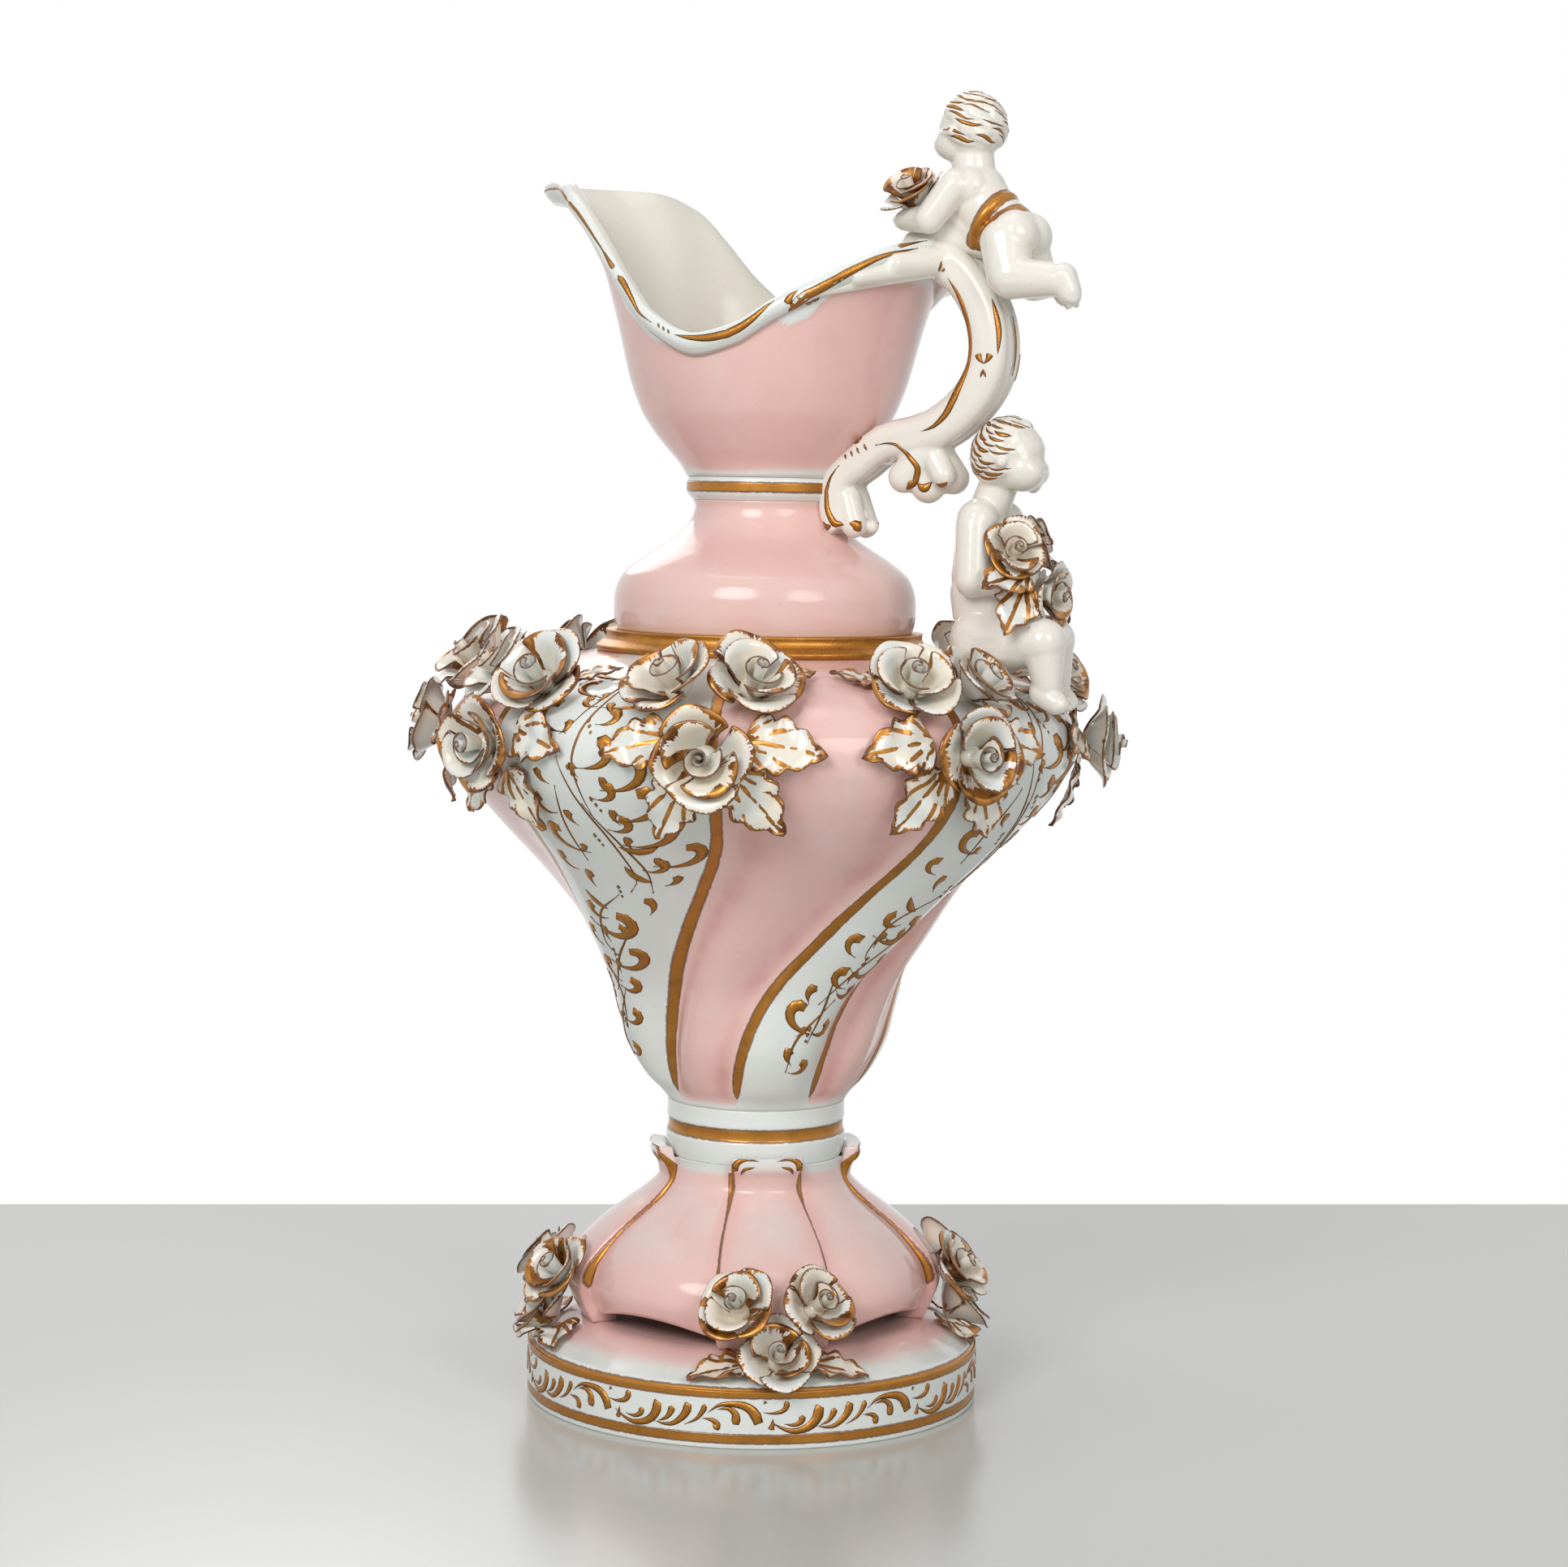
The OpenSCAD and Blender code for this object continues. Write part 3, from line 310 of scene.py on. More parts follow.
def fat_head(t):
    """Width of a comma stroke: a round head that runs out into a thin tail"""
    return math.sqrt(min(1, t / 0.1)) * (1 - t) ** 0.9 * 0.93 + 0.07 * math.sqrt(max(0, 1 - t))


def comma(t):
    """Width of a short fat comma: the head stays full a while, then thins fast"""
    return math.sqrt(min(1, t / 0.12)) * (0.14 * (1 - t) ** 0.5 + 0.86 * max(0, 1 - t * 1.15) ** 0.9)


def full_middle(t):
    """Width of a stroke that starts and ends thin"""
    return math.sin(math.pi * min(1, max(0, t))) ** 0.8


def gild(bm, skin, path, width, form=full_middle, count=12, relief=1.0):
    """Lays one brush stroke of gold along a path of points near a skin"""
    line, lift = smooth_path(path, count), sizes().paste / MM * relief
    edge = bm.verts.layers.float.get("edge") or bm.verts.layers.float.new("edge")
    for v in bmesh.ops.create_grid(bm, x_segments=count, y_segments=2, size=1)["verts"]:
        i, side = round((v.co.x + 1) / 2 * count), v.co.y
        a, b = line[max(0, i - 1)], line[min(count, i + 1)]
        seat, normal, _, _ = skin.find_nearest(line[i])
        across = normal.cross(b - a).normalized()
        reach = side * width / 2 * form(i / count)
        seat, normal, _, _ = skin.find_nearest(seat + across * reach)
        v.co = seat + normal * lift * (1 - 0.55 * side * side)
        v[edge] = width / 2 * form(i / count) * (1 - abs(side))


def keep_gilding(bm, name, backing=0.35):
    """Gives the strokes their thickness and keeps them as one piece"""
    piece = keep(bm, name, [gold_leaf()], faces_out=False)
    wall = piece.modifiers.new("paste", "SOLIDIFY")
    wall.thickness = backing * MM
    wall.offset = -1


# Glazes and gold

def colour(name, description, *seen):
    """A colour property, by its default as seen: red, green and blue from 0 to 255"""
    def linear(c):
        c /= 255
        return c / 12.92 if c <= 0.04045 else ((c + 0.055) / 1.055) ** 2.4
    return FloatVectorProperty(name=name, description=description, subtype="COLOR",
                               default=tuple(linear(c) for c in seen))


def length(name, description, default, low, high):
    """A size property, by its default and limits in millimetres"""
    return FloatProperty(name=name, description=description, subtype="DISTANCE", default=default * MM,
                         min=low * MM, max=high * MM)


class JugGlazes(bpy.types.PropertyGroup):
    """Colours of the glazes, the gold and the table"""
    white: colour("White glaze", "Glaze of the white lobes, collars and plinth", 228, 232, 228)
    pink: colour("Pink glaze", "Sprayed pink of the body and foot", 236, 193, 186)
    # Deeper pink in hollows: sprayed pink that ran thick, and painted shade
    deep_pink_and_shade: colour("Deep pink", "Pink where the spray ran thick in hollows", 214, 148, 142)
    ivory: colour("Ivory glaze", "Glaze of the bulb and the inside of the mouth", 226, 220, 208)
    flower: colour("Flower glaze", "Ivory glaze of roses and leaves", 238, 230, 213)
    blush: colour("Blush", "Rosy tint of the flowers' glaze beside the gold", 236, 214, 208)
    rim: colour("Edge", "Dark brown of a gilt edge", 84, 52, 30)
    cherub: colour("Cherub glaze", "Warm white glaze of the cherubs and the handle", 236, 231, 222)
    # Colour of dirt and pits, and of the painted shade in creases, hollows and at the bases of petals
    settled_and_shaded: colour("Settled dirt", "What has settled in creases", 176, 164, 134)
    gold: colour("Gold", "Fired gold, where it is thick", 178, 120, 48)
    thin_gold: colour("Thin gold", "Gold brushed thin, and its edges", 106, 60, 20)
    table: colour("Table", "Colour of the pale table top", 196, 198, 194)


class JugSizes(bpy.types.PropertyGroup):
    """Sizes of the finish"""
    line_w: length("Gold line", "Width of the gold lines between the lobes", 4.6, 2, 7)
    paste: length("Gold relief", "How far the painted gold stands on the glaze", 0.3, 0.1, 0.8)
    petal_t: length("Petal thickness", "Thickness of a rose petal", 0.95, 0.6, 2)
    petal_wave: length("Petal wave", "How far the edge of a petal waves", 1.6, 0, 3)
    rib_depth: length("Leaf ribs", "Depth of the grooves in a leaf", 0.5, 0, 1)
    seed: IntProperty(name="Hand", description="Number that the small irregularities start from", default=7,
                      min=1)


def glazes():
    """The colours that the user has set"""
    return bpy.context.scene.jug_glazes


def sizes():
    """The sizes of the finish that the user has set"""
    return bpy.context.scene.jug_sizes


def feed(tree, socket, value):
    """Links a value to a socket, or sets it there"""
    if isinstance(value, bpy.types.NodeSocket):
        tree.links.new(value, socket)
    elif hasattr(value, "__len__") and len(value) == 3 and len(socket.default_value) == 4:
        socket.default_value = (*value, 1)
    else:
        socket.default_value = value


def node(tree, kind, inputs=(), **settings):
    """Adds a shader node with its settings and what goes in"""
    made = tree.nodes.new("ShaderNode" + kind)
    for key, value in settings.items():
        setattr(made, key, value)
    for key, value in dict(inputs).items():
        feed(tree, made.inputs[key], value)
    return made


def blend(tree, amount, a, b):
    """From colour a to colour b by an amount"""
    return node(tree, "Mix", {0: amount, 6: a, 7: b}, data_type="RGBA").outputs[2]


def level(tree, value, low, high, to_low=0.0, to_high=1.0):
    """A value eased from one range to another"""
    return node(tree, "MapRange", {0: value, 1: low, 2: high, 3: to_low, 4: to_high},
                interpolation_type="SMOOTHSTEP").outputs[0]


def maths(tree, operation, a, b):
    """One step of reckoning with two values"""
    return node(tree, "Math", {0: a, 1: b}, operation=operation).outputs[0]


# Grains, in cycles to a metre: clouds and specks in the glaze, pits, brushed gold, its patches and grain
CLOUD, SPECK, PIT, BRUSH, GOLD_PATCH, GOLD_GRAIN = 45, 420, 900, 160, 170, 1400


def grain(tree, scale, detail=3.0):
    """Noise in the object's own space"""
    place = node(tree, "TexCoord").outputs["Object"]
    return node(tree, "TexNoise", {"Vector": place, "Scale": scale, "Detail": detail,
                                   "Roughness": 0.55}).outputs[0]


def marked(tree, name):
    """What the points of the piece are marked with"""
    return node(tree, "Attribute", attribute_name=name).outputs["Fac"]


def material(name):
    """A material by name, and where it is new also its nodes and its shader"""
    made = bpy.data.materials.get(name)
    if made:
        return made, None, None
    made = bpy.data.materials.new(name)
    made.use_nodes = True
    tree = made.node_tree
    return made, tree, tree.nodes["Principled BSDF"]


def plain(skin, **values):
    """Sets shader values that are the same all over"""
    for key, value in values.items():
        skin.inputs[key.replace("_", " ")].default_value = value


def relief(tree, skin, height, strength, distance):
    """Gives the shader a fine relief, its distance in metres"""
    bump = node(tree, "Bump", {"Strength": strength, "Distance": distance, "Height": height})
    feed(tree, skin.inputs["Normal"], bump.outputs[0])


GLAZE_ROUGH, GOLD_ROUGH = 0.13, 0.33


def glazed(name, base):
    """Glaze over porcelain: base colour, sprayed pink with painted shade in its hollows, dirt with painted
    shade in creases, and gold bands, as the piece is marked
    """
    made, tree, skin = material(name)
    if not tree:
        return made
    g = glazes()
    cloud = grain(tree, CLOUD)
    speck = grain(tree, SPECK, 2)
    pink = maths(tree, "ADD", marked(tree, "pink"),
                 maths(tree, "MULTIPLY", maths(tree, "SUBTRACT", cloud, 0.5), marked(tree, "pink")))
    body = blend(tree, level(tree, pink, 0.0, 1.0), base, g.pink)
    # Deep pink where the mark passes 1: sprayed pink that ran thick, and painted shade in hollows
    body = blend(tree, level(tree, pink, 1.0, 2.0), body, g.deep_pink_and_shade)
    body = blend(tree, level(tree, cloud, 0.35, 0.75, 0.0, 0.1), body, g.ivory)
    # Dirt and painted shade in creases, broken up by specks
    dirt = maths(tree, "MULTIPLY", marked(tree, "dirt"), level(tree, speck, 0.25, 0.7, 0.6, 1.25))
    body = blend(tree, level(tree, dirt, 0.05, 1.0, 0.0, 0.85), body, g.settled_and_shaded)
    pit = level(tree, grain(tree, PIT, 1), 0.7, 0.78)
    body = blend(tree, maths(tree, "MULTIPLY", pit, 0.35), body, g.settled_and_shaded)
    shine = level(tree, cloud, 0.3, 0.8, GLAZE_ROUGH, GLAZE_ROUGH + 0.07)
    worn = maths(tree, "MULTIPLY", level(tree, speck, 0.4, 0.75), 0.3)
    reach = maths(tree, "SUBTRACT", marked(tree, "gold"), worn)
    gold = level(tree, reach, 0.0, 0.22)
    brown = maths(tree, "SUBTRACT", level(tree, reach, -0.5, -0.2), gold)
    leaf = blend(tree, level(tree, grain(tree, BRUSH), 0.4, 0.8, 0.0, 0.3), g.gold, g.thin_gold)
    leaf = blend(tree, level(tree, reach, 0.1, 0.6), g.thin_gold, leaf)
    body = blend(tree, maths(tree, "MULTIPLY", brown, 0.8), body, g.thin_gold)
    feed(tree, skin.inputs["Base Color"], blend(tree, gold, body, leaf))
    feed(tree, skin.inputs["Metallic"], maths(tree, "MULTIPLY", gold, 0.75))
    rough = node(tree, "MapRange", {0: gold, 3: shine, 4: GOLD_ROUGH})
    feed(tree, skin.inputs["Roughness"], rough.outputs[0])
    plain(skin, IOR=1.5, Specular_IOR_Level=0.35, Coat_Weight=0.12, Coat_Roughness=0.06)
    height = maths(tree, "ADD", maths(tree, "MULTIPLY", cloud, 0.6), maths(tree, "MULTIPLY", gold, 0.8))
    relief(tree, skin, height, 0.35, 0.0006)
    return made


def gold_leaf():
    """Gold brushed over the glaze: thick and bright in places, thin and brown in others"""
    made, tree, skin = material("fired gold")
    if not tree:
        return made
    g = glazes()
    fine = grain(tree, GOLD_GRAIN, 2)
    body = blend(tree, level(tree, grain(tree, GOLD_PATCH), 0.4, 0.8, 0.0, 0.35), g.gold, g.thin_gold)
    rim = level(tree, marked(tree, "edge"), 0.1, 0.75, 0.8, 0.0)
    feed(tree, skin.inputs["Base Color"], blend(tree, rim, body, g.rim))
    feed(tree, skin.inputs["Roughness"], level(tree, fine, 0.25, 0.8, 0.24, 0.46))
    plain(skin, Metallic=0.8)
    relief(tree, skin, fine, 0.4, 0.0003)
    return made


# Stage

PHOTO_W, PHOTO_H, FOCUS_PX, SENSOR_W = 1932, 1931, 4300, 36
# Where the camera stands, in degrees and millimetres, and how it is turned, in pixels of the picture
CAMERA_AZIMUTH, CAMERA_AWAY, CAMERA_UP, CAMERA_ROLL = 29.5, 1505, 395, 1.05
ASIDE_PX, DOWN_PX = -27.5, 365.5
# Row of the picture where the table ends, and how far the table comes forward and out, in metres
FAR_EDGE_PX, TABLE_NEAR, TABLE_OUT = 1484, 3.4, 2.6
FILL_LIGHT = 0.22
# Lamps: name, then across, towards the camera, up and width in metres, and power in watts
LAMPS = (("lamp left", -0.9, 2.0, 1.5, 1.3, 34), ("lamp right", 1.1, 1.8, 1.2, 1.1, 14),
         ("lamp above", -0.2, -0.1, 2.4, 1.4, 7), ("lamp behind", -0.5, -2.0, 1.5, 1.5, 13))
LAMP_AIM = 0.28


def camera_axes():
    """Towards the camera, to its right, and up, for a level camera"""
    az = math.radians(CAMERA_AZIMUTH)
    back = Vector((math.sin(az), -math.cos(az), 0))
    right = Vector((math.cos(az), math.sin(az), 0))
    return back, right, Vector((0, 0, 1))


class JUG_OT_stage(bpy.types.Operator):
    """Camera, studio light, white backdrop and pale table"""
    bl_idname = "jug.stage"
    bl_label = "Stage"

    def execute(self, context):
        scene = context.scene
        back, right, up = camera_axes()
        yaw, pitch = math.atan(ASIDE_PX / FOCUS_PX), math.atan(DOWN_PX / FOCUS_PX)
        ahead = -back * math.cos(yaw) - right * math.sin(yaw)
        side = ahead.cross(up).normalized()
        look = ahead * math.cos(pitch) - up * math.sin(pitch)
        top = side.cross(look)
        c, s = math.cos(math.radians(CAMERA_ROLL)), math.sin(math.radians(CAMERA_ROLL))
        side, top = side * c + top * s, top * c - side * s
        lens = bpy.data.cameras.new("camera")
        lens.sensor_width = SENSOR_W
        lens.lens = SENSOR_W * FOCUS_PX / PHOTO_W
        camera = bpy.data.objects.new("camera", lens)
        scene.collection.objects.link(camera)
        place = (back * CAMERA_AWAY + up * CAMERA_UP) * MM
        camera.matrix_world = Matrix(((side.x, top.x, -look.x, place.x), (side.y, top.y, -look.y, place.y),
                                      (side.z, top.z, -look.z, place.z), (0, 0, 0, 1)))
        scene.camera = camera
        scene.view_settings.view_transform = "Standard"

        world = bpy.data.worlds.new("studio")
        world.use_nodes = True
        tree = world.node_tree
        rays = node(tree, "LightPath")
        seen = maths(tree, "MAXIMUM", rays.outputs["Is Camera Ray"], rays.outputs["Is Glossy Ray"])
        seen = maths(tree, "MAXIMUM", seen, rays.outputs["Is Transmission Ray"])
        sky = tree.nodes["Background"]
        sky.inputs["Color"].default_value = (1, 1, 1, 1)
        feed(tree, sky.inputs["Strength"],
             node(tree, "MapRange", {0: seen, 3: FILL_LIGHT, 4: 1.0}).outputs[0])
        scene.world = world

        for name, across, away, high, wide, power in LAMPS:
            light = bpy.data.lights.new(name, "AREA")
            light.shape = "DISK"
            light.size = wide
            light.energy = power
            lamp = bpy.data.objects.new(name, light)
            scene.collection.objects.link(lamp)
            lamp.location = right * across + back * away + up * high
            aim = Vector((0, 0, LAMP_AIM)) - lamp.location
            lamp.rotation_euler = aim.to_track_quat("-Z", "Y").to_euler()

        def on_table(x, y):
            """The point of the table that the camera sees at a place in the picture"""
            ray = look * FOCUS_PX + side * (x - PHOTO_W / 2) + top * (PHOTO_H / 2 - y)
            return place - ray * (place.z / ray.z)
        bm = bmesh.new()
        for v in bmesh.ops.create_grid(bm, x_segments=1, y_segments=1, size=1)["verts"]:
            x = PHOTO_W / 2 + v.co.x * PHOTO_W * 1.2
            near = right * v.co.x * TABLE_OUT + back * TABLE_NEAR
            v.co = on_table(x, FAR_EDGE_PX) if v.co.y > 0 else near
        bmesh.ops.recalc_face_normals(bm, faces=bm.faces)
        mesh = bpy.data.meshes.new("table")
        bm.to_mesh(mesh)
        bm.free()
        table = bpy.data.objects.new("table", mesh)
        scene.collection.objects.link(table)
        made, tree, skin = material("table top")
        feed(tree, skin.inputs["Base Color"],
             blend(tree, level(tree, grain(tree, 3), 0.3, 0.7, 0, 0.06), glazes().table, (1, 1, 1)))
        plain(skin, Roughness=0.2)
        mesh.materials.append(made)
        return {"FINISHED"}


# Turned pieces: plinth, collars, ring and bulb

# How far in from its largest radius a piece's outside still counts as outside
OUTER = 2


def turned(profile, columns, name, skin, solid, pink=None, gold=None):
    """Spins a closed outline of (radius, height) and marks its pink and gold by radius and height"""
    def place(i, j):
        r, z = profile[j]
        return polar(r, 360 * i / columns, z), pink(r, z) if pink else 0, gold(r, z) if gold else NO_GOLD
    bm = place_tube(spun_tube(len(profile), columns, ring=True), columns, place, ("pink", "gold"))
    mark_crease_grime_and_shade(bm, rounds=6, depth=1.2)
    keep(bm, name, [skin], [solid])


def stepped(points, step):
    """A closed outline with a point at least every step"""
    out = []
    for a, b in zip(points, points[1:] + points[:1]):
        a, b = Vector(a), Vector(b)
        count = max(1, math.ceil((b - a).length / step))
        out += [tuple(a.lerp(b, k / count)) for k in range(count)]
    return out


def rounded(points, radii):
    """An outline whose corners are rounded to the radii, by point"""
    out = []
    n = len(points)
    for k, p in enumerate(points):
        p, r = Vector(p), radii.get(k, 0)
        if not r:
            out.append(tuple(p))
            continue
        a = (Vector(points[k - 1]) - p).normalized() * r
        b = (Vector(points[(k + 1) % n]) - p).normalized() * r
        for t in (0, 0.2, 0.4, 0.6, 0.8, 1):
            out.append(tuple(p + a * (1 - t) ** 2 + b * t * t))
    return out


# Height of the plinth's top, as a share of its rise, by the share of its radius
PLINTH_TOP = curve([(0, 1), (0.72, 1), (0.76, 0.96), (0.84, 0.7), (0.9, 0.42), (0.95, 0.22), (0.98, 0.1),
                    (1, 0)])
# Gold bands of the plinth, half their width, and the height below which nothing is pink
BANDS, BAND_HALF, WHITE_BELOW = (4.4, 23.4), 2, 20
# The frieze between the bands: its middle, where its first repeat starts, and how many there are
FRIEZE_MIDDLE, FRIEZE_START, FRIEZE_REPEATS = 14, -95.3, 9
# One repeat of the frieze, in millimetres along and up, each stroke after its width: commas that hang, then
# commas that stand
FRIEZE = [(3.4, [(6, 6.6), (6.6, 4.6), (4.8, 2.3), (0.6, 1.4), (-3, 1.8)]),
          (1.8, [(-2.2, 6.6), (-3, 5.2)]),
          (5.6, [(19, 4.6), (20.2, 1.9), (19, -1.8), (15.5, -4.9), (9.5, -6.2), (4.2, -4.6), (0, -2)]),
          (3.6, [(12.9, 0.4), (12.5, -2.1), (9.5, -3.6), (5.4, -3.2)]),
          (5, [(32.7, 4.8), (33.6, 2.3), (31.5, -1.4), (27.4, -4.6), (23.2, -5.2), (19, -4.4)]),
          (3.8, [(27.1, 2.6), (26.4, 0), (24.4, -2.6), (20.8, -4.3)]),
          (3.2, [(40.7, 4.5), (39.9, 1.7), (36.9, -2.1), (32.1, -4.6)]),
          (5.6, [(61.6, -3.5), (63, -2.1), (61.3, 1.7), (57.7, 4.3), (52.4, 5.1), (47, 4.4), (42.2, 1)]),
          (4.6, [(52.4, -3.3), (53.6, -1.7), (53, 1.4), (50, 3.2), (45.8, 2.5)]),
          (3.6, [(45, -5.8), (46.2, -4), (44.3, -2), (39.9, -1.4)]),
          (3, [(68.6, -5.6), (69.2, -3), (69.4, -0.8)])]


class JUG_OT_plinth(bpy.types.Operator):
    """Round plinth with a pink top, a painted frieze and two gold bands"""
    bl_idname = "jug.plinth"
    bl_label = "Plinth"

    def execute(self, context):
        side = Z_FOOT - PLINTH_RISE
        top = [(PLINTH_R * s, side + PLINTH_RISE * PLINTH_TOP(s)) for s in
               (0.975, 0.95, 0.92, 0.89, 0.86, 0.83, 0.8, 0.77, 0.74, 0.7, 0.5, 0.3, VENT_R / PLINTH_R)]
        under = [(r - PLINTH_WALL if r > VENT_R * 2 else r, z - PLINTH_WALL) for r, z in reversed(top)]
        wall = rounded([(PLINTH_R - PLINTH_WALL, 0), (PLINTH_R, 0), (PLINTH_R, side)], {1: 1.2, 2: 1.6})

        def pink(r, z):
            # The pink deepens further in, towards the foot: painted shade
            return 0 if z < WHITE_BELOW else ease((92 - r) / 9) * (0.7 + 0.2 * ease((86 - r) / 10))

        def gold(r, z):
            return BAND_HALF - min(abs(z - band) for band in BANDS) if r > PLINTH_R - OUTER else NO_GOLD
        turned(stepped(wall + top + under, 1.2), WIDE_COLUMNS, "plinth_glazed",
               glazed("white glaze", glazes().white), "plinth", pink, gold)

        step = 360 / WIDE_COLUMNS
        drum = place_tube(spun_tube(2, WIDE_COLUMNS), WIDE_COLUMNS,
                          lambda i, j: (polar(PLINTH_R, step * i, 30 * j - 1),))
        skin = skin_of(drum)
        drum.free()
        gilt, rng = bmesh.new(), random.Random(sizes().seed)
        for k in range(FRIEZE_REPEATS):
            start = FRIEZE_START + 360 / FRIEZE_REPEATS * k + rng.uniform(-0.5, 0.5)
            for width, path in FRIEZE:
                stray = rng.uniform(-0.3, 0.3)
                line = [polar(PLINTH_R, start + math.degrees((u + stray) / PLINTH_R), FRIEZE_MIDDLE + v)
                        for u, v in path]
                gild(gilt, skin, line, width * rng.uniform(0.85, 1.05), fat_head)
        keep_gilding(gilt, "plinth_gilding")
        return {"FINISHED"}


# Radius by height, as shares: the stem collar with its cove, and the bulb from its widest in to the waist
STEM_FORM = curve([(0, 0.965), (0.08, 0.99), (0.25, 1.008), (0.4, 1.012), (0.46, 0.99), (0.55, 0.985),
                   (0.64, 0.99), (0.7, 1.004), (0.85, 1), (1, 1)])
BULB_FORM = curve([(0, 0.955), (0.06, 0.985), (0.16, 1), (0.26, 0.995), (0.34, 0.965), (0.42, 0.9),
                   (0.5, 0.76), (0.57, 0.6), (0.64, 0.42), (0.72, 0.24), (0.8, 0.11), (0.88, 0.03),
                   (0.95, 0.005), (1, 0.03)])


class JUG_OT_collars(bpy.types.Operator):
    """White stem collar, gilt shoulder ring, pink bulb and white neck collar"""
    bl_idname = "jug.collars"
    bl_label = "Collars, ring and bulb"

    def execute(self, context):
        white = glazed("white glaze", glazes().white)
        height = Z_BODY - Z_STEM
        outer = [(STEM_R * STEM_FORM(t / 48), Z_STEM + height * t / 48) for t in range(49)]
        inner = stepped([(STEM_R - STEM_WALL, Z_BODY), (STEM_R - STEM_WALL, Z_STEM)], 6)[:-1]
        middle = Z_STEM + height * 0.55
        turned(outer + inner, COLLAR_COLUMNS, "stem_collar_glazed", white, "stem_collar",
               gold=lambda r, z: 2.7 - abs(z - middle) if r > STEM_R - OUTER else NO_GOLD)

        h = Z_BULB - Z_RING
        ring = [(BORE_R, 0), (RING_R, 0), (RING_R + h / 9, 0.12), (RING_R + h / 9, 0.26),
                (RING_R - h * 0.1, 0.42), (RING_R - h * 0.3, 0.55), (RING_R - h * 0.38, 0.68),
                (BULB_R + h * 0.33, 0.82), (BULB_R + h * 0.36, 1), (BORE_R, 1)]
        ring = rounded([(r, Z_RING + h * up) for r, up in ring], {1: 0.4, 2: 0.5, 3: 0.5, 7: 0.4})
        turned(stepped(ring, 1.0), RING_COLUMNS, "shoulder_ring_gilt", gold_leaf(), "shoulder_ring")

        tall = Z_NECK - Z_BULB
        outer = [(mix(WAIST_R, BULB_R, BULB_FORM(t / 64)), Z_BULB + tall * t / 64) for t in range(65)]
        inner = [(min(BORE_R, r - NECK_WALL), z) for r, z in outer[::4]][::-1]

        def pink(r, z):
            """Deepest in the bend above the bulb, thin at its foot and under the collar"""
            up = (z - Z_BULB) / tall
            return 0.72 + 0.12 * ease((up - 0.3) / 0.3) + 0.2 * math.exp(-((up - 0.62) / 0.12) ** 2) \
                - 0.3 * ease((0.07 - up) / 0.07) - 0.2 * ease((up - 0.95) / 0.05)
        turned(outer + inner, RING_COLUMNS, "neck_bulb_glazed", glazed("ivory glaze", glazes().ivory),
               "neck_bulb", pink)

        n, inside = Z_MOUTH - Z_NECK, WAIST_R - NECK_WALL
        collar = [(inside, 0), (WAIST_R + 1.2, 0), (NECK_R - 0.7, 0.22), (NECK_R, 0.38), (NECK_R, 0.74),
                  (NECK_R - 0.6, 0.86), (NECK_R - 0.6, 1), (inside, 1)]
        collar = rounded([(r, Z_NECK + n * up) for r, up in collar], {2: 0.6, 3: 0.5, 4: 0.5})
        turned(stepped(collar, 0.7), COLLAR_COLUMNS, "neck_collar_glazed", white, "neck_collar",
               gold=lambda r, z: 2.1 - abs(z - Z_NECK - n * 0.56) if r > NECK_R - OUTER else NO_GOLD)
        return {"FINISHED"}


# Foot

# Height and radius of a leg and of a lappet between two legs, at equal steps up, as shares
LEG_Z = along([0, 0.1, 0.22, 0.34, 0.45, 0.57, 0.68, 0.78, 0.87, 0.94, 1.01, 1.07, 1.06, 1])
LEG_R = along([0.93, 0.97, 1, 0.98, 0.915, 0.81, 0.69, 0.575, 0.508, 0.525, 0.567, 0.567, 0.5, 0.484])
LAPPET_Z = along([0.07, 0.14, 0.23, 0.34, 0.45, 0.57, 0.68, 0.78, 0.87, 0.93, 0.955, 0.975, 0.99, 1])
LAPPET_R = along([0.9, 0.915, 0.935, 0.915, 0.855, 0.76, 0.642, 0.54, 0.487, 0.478, 0.477, 0.479, 0.481,
                  0.484])
FOOT_STEPS = 13
# The hollow inside: height and radius
HOLLOW = [(1, 0.4), (0.88, 0.4), (0.76, 0.48), (0.62, 0.62), (0.45, 0.79), (0.25, 0.85)]
# Columns across a leg, in halves of its width, and across a lappet, from one leg to the next
LEG_COLUMNS = [-1.3, -1.24, -1.18, -1.14, -1.11, -1.085, -1.06, -1.035, -1.01, -0.97, -0.92, -0.84, -0.7,
               -0.55, -0.4, -0.2, 0]
LEG_COLUMNS += [-s for s in LEG_COLUMNS[-2::-1]]
LAPPET_COLUMNS = [0.04, 0.09, 0.15, 0.22, 0.3, 0.38, 0.46, 0.54, 0.62, 0.7, 0.78, 0.85, 0.91, 0.96]
FOOT_COLUMNS = [(s, None) for s in LEG_COLUMNS] + [(None, s) for s in LAPPET_COLUMNS]
# Width of the gold in the creases beside the legs, by height
CREASE_GOLD = curve([(51, 0), (55, 2.8), (62, 2.2), (72, 1.2), (84, 1.1), (92, 1.9), (99, 3.0), (105, 3.4)])


def leg_share(s):
    """How far a column belongs to a leg: 1 on it, 0 beyond its edge"""
    return 0 if s is None else ease((1.12 - abs(s)) / 0.12)


def arch_share(lap):
    """How high the lappet's lower edge arches at a column: 1 in its middle"""
    return 0 if lap is None else 1 - (2 * lap - 1) ** 2


def lappet_low(arch):
    """Height of the lappet's lower edge over the plinth"""
    return 5 + 4 * arch


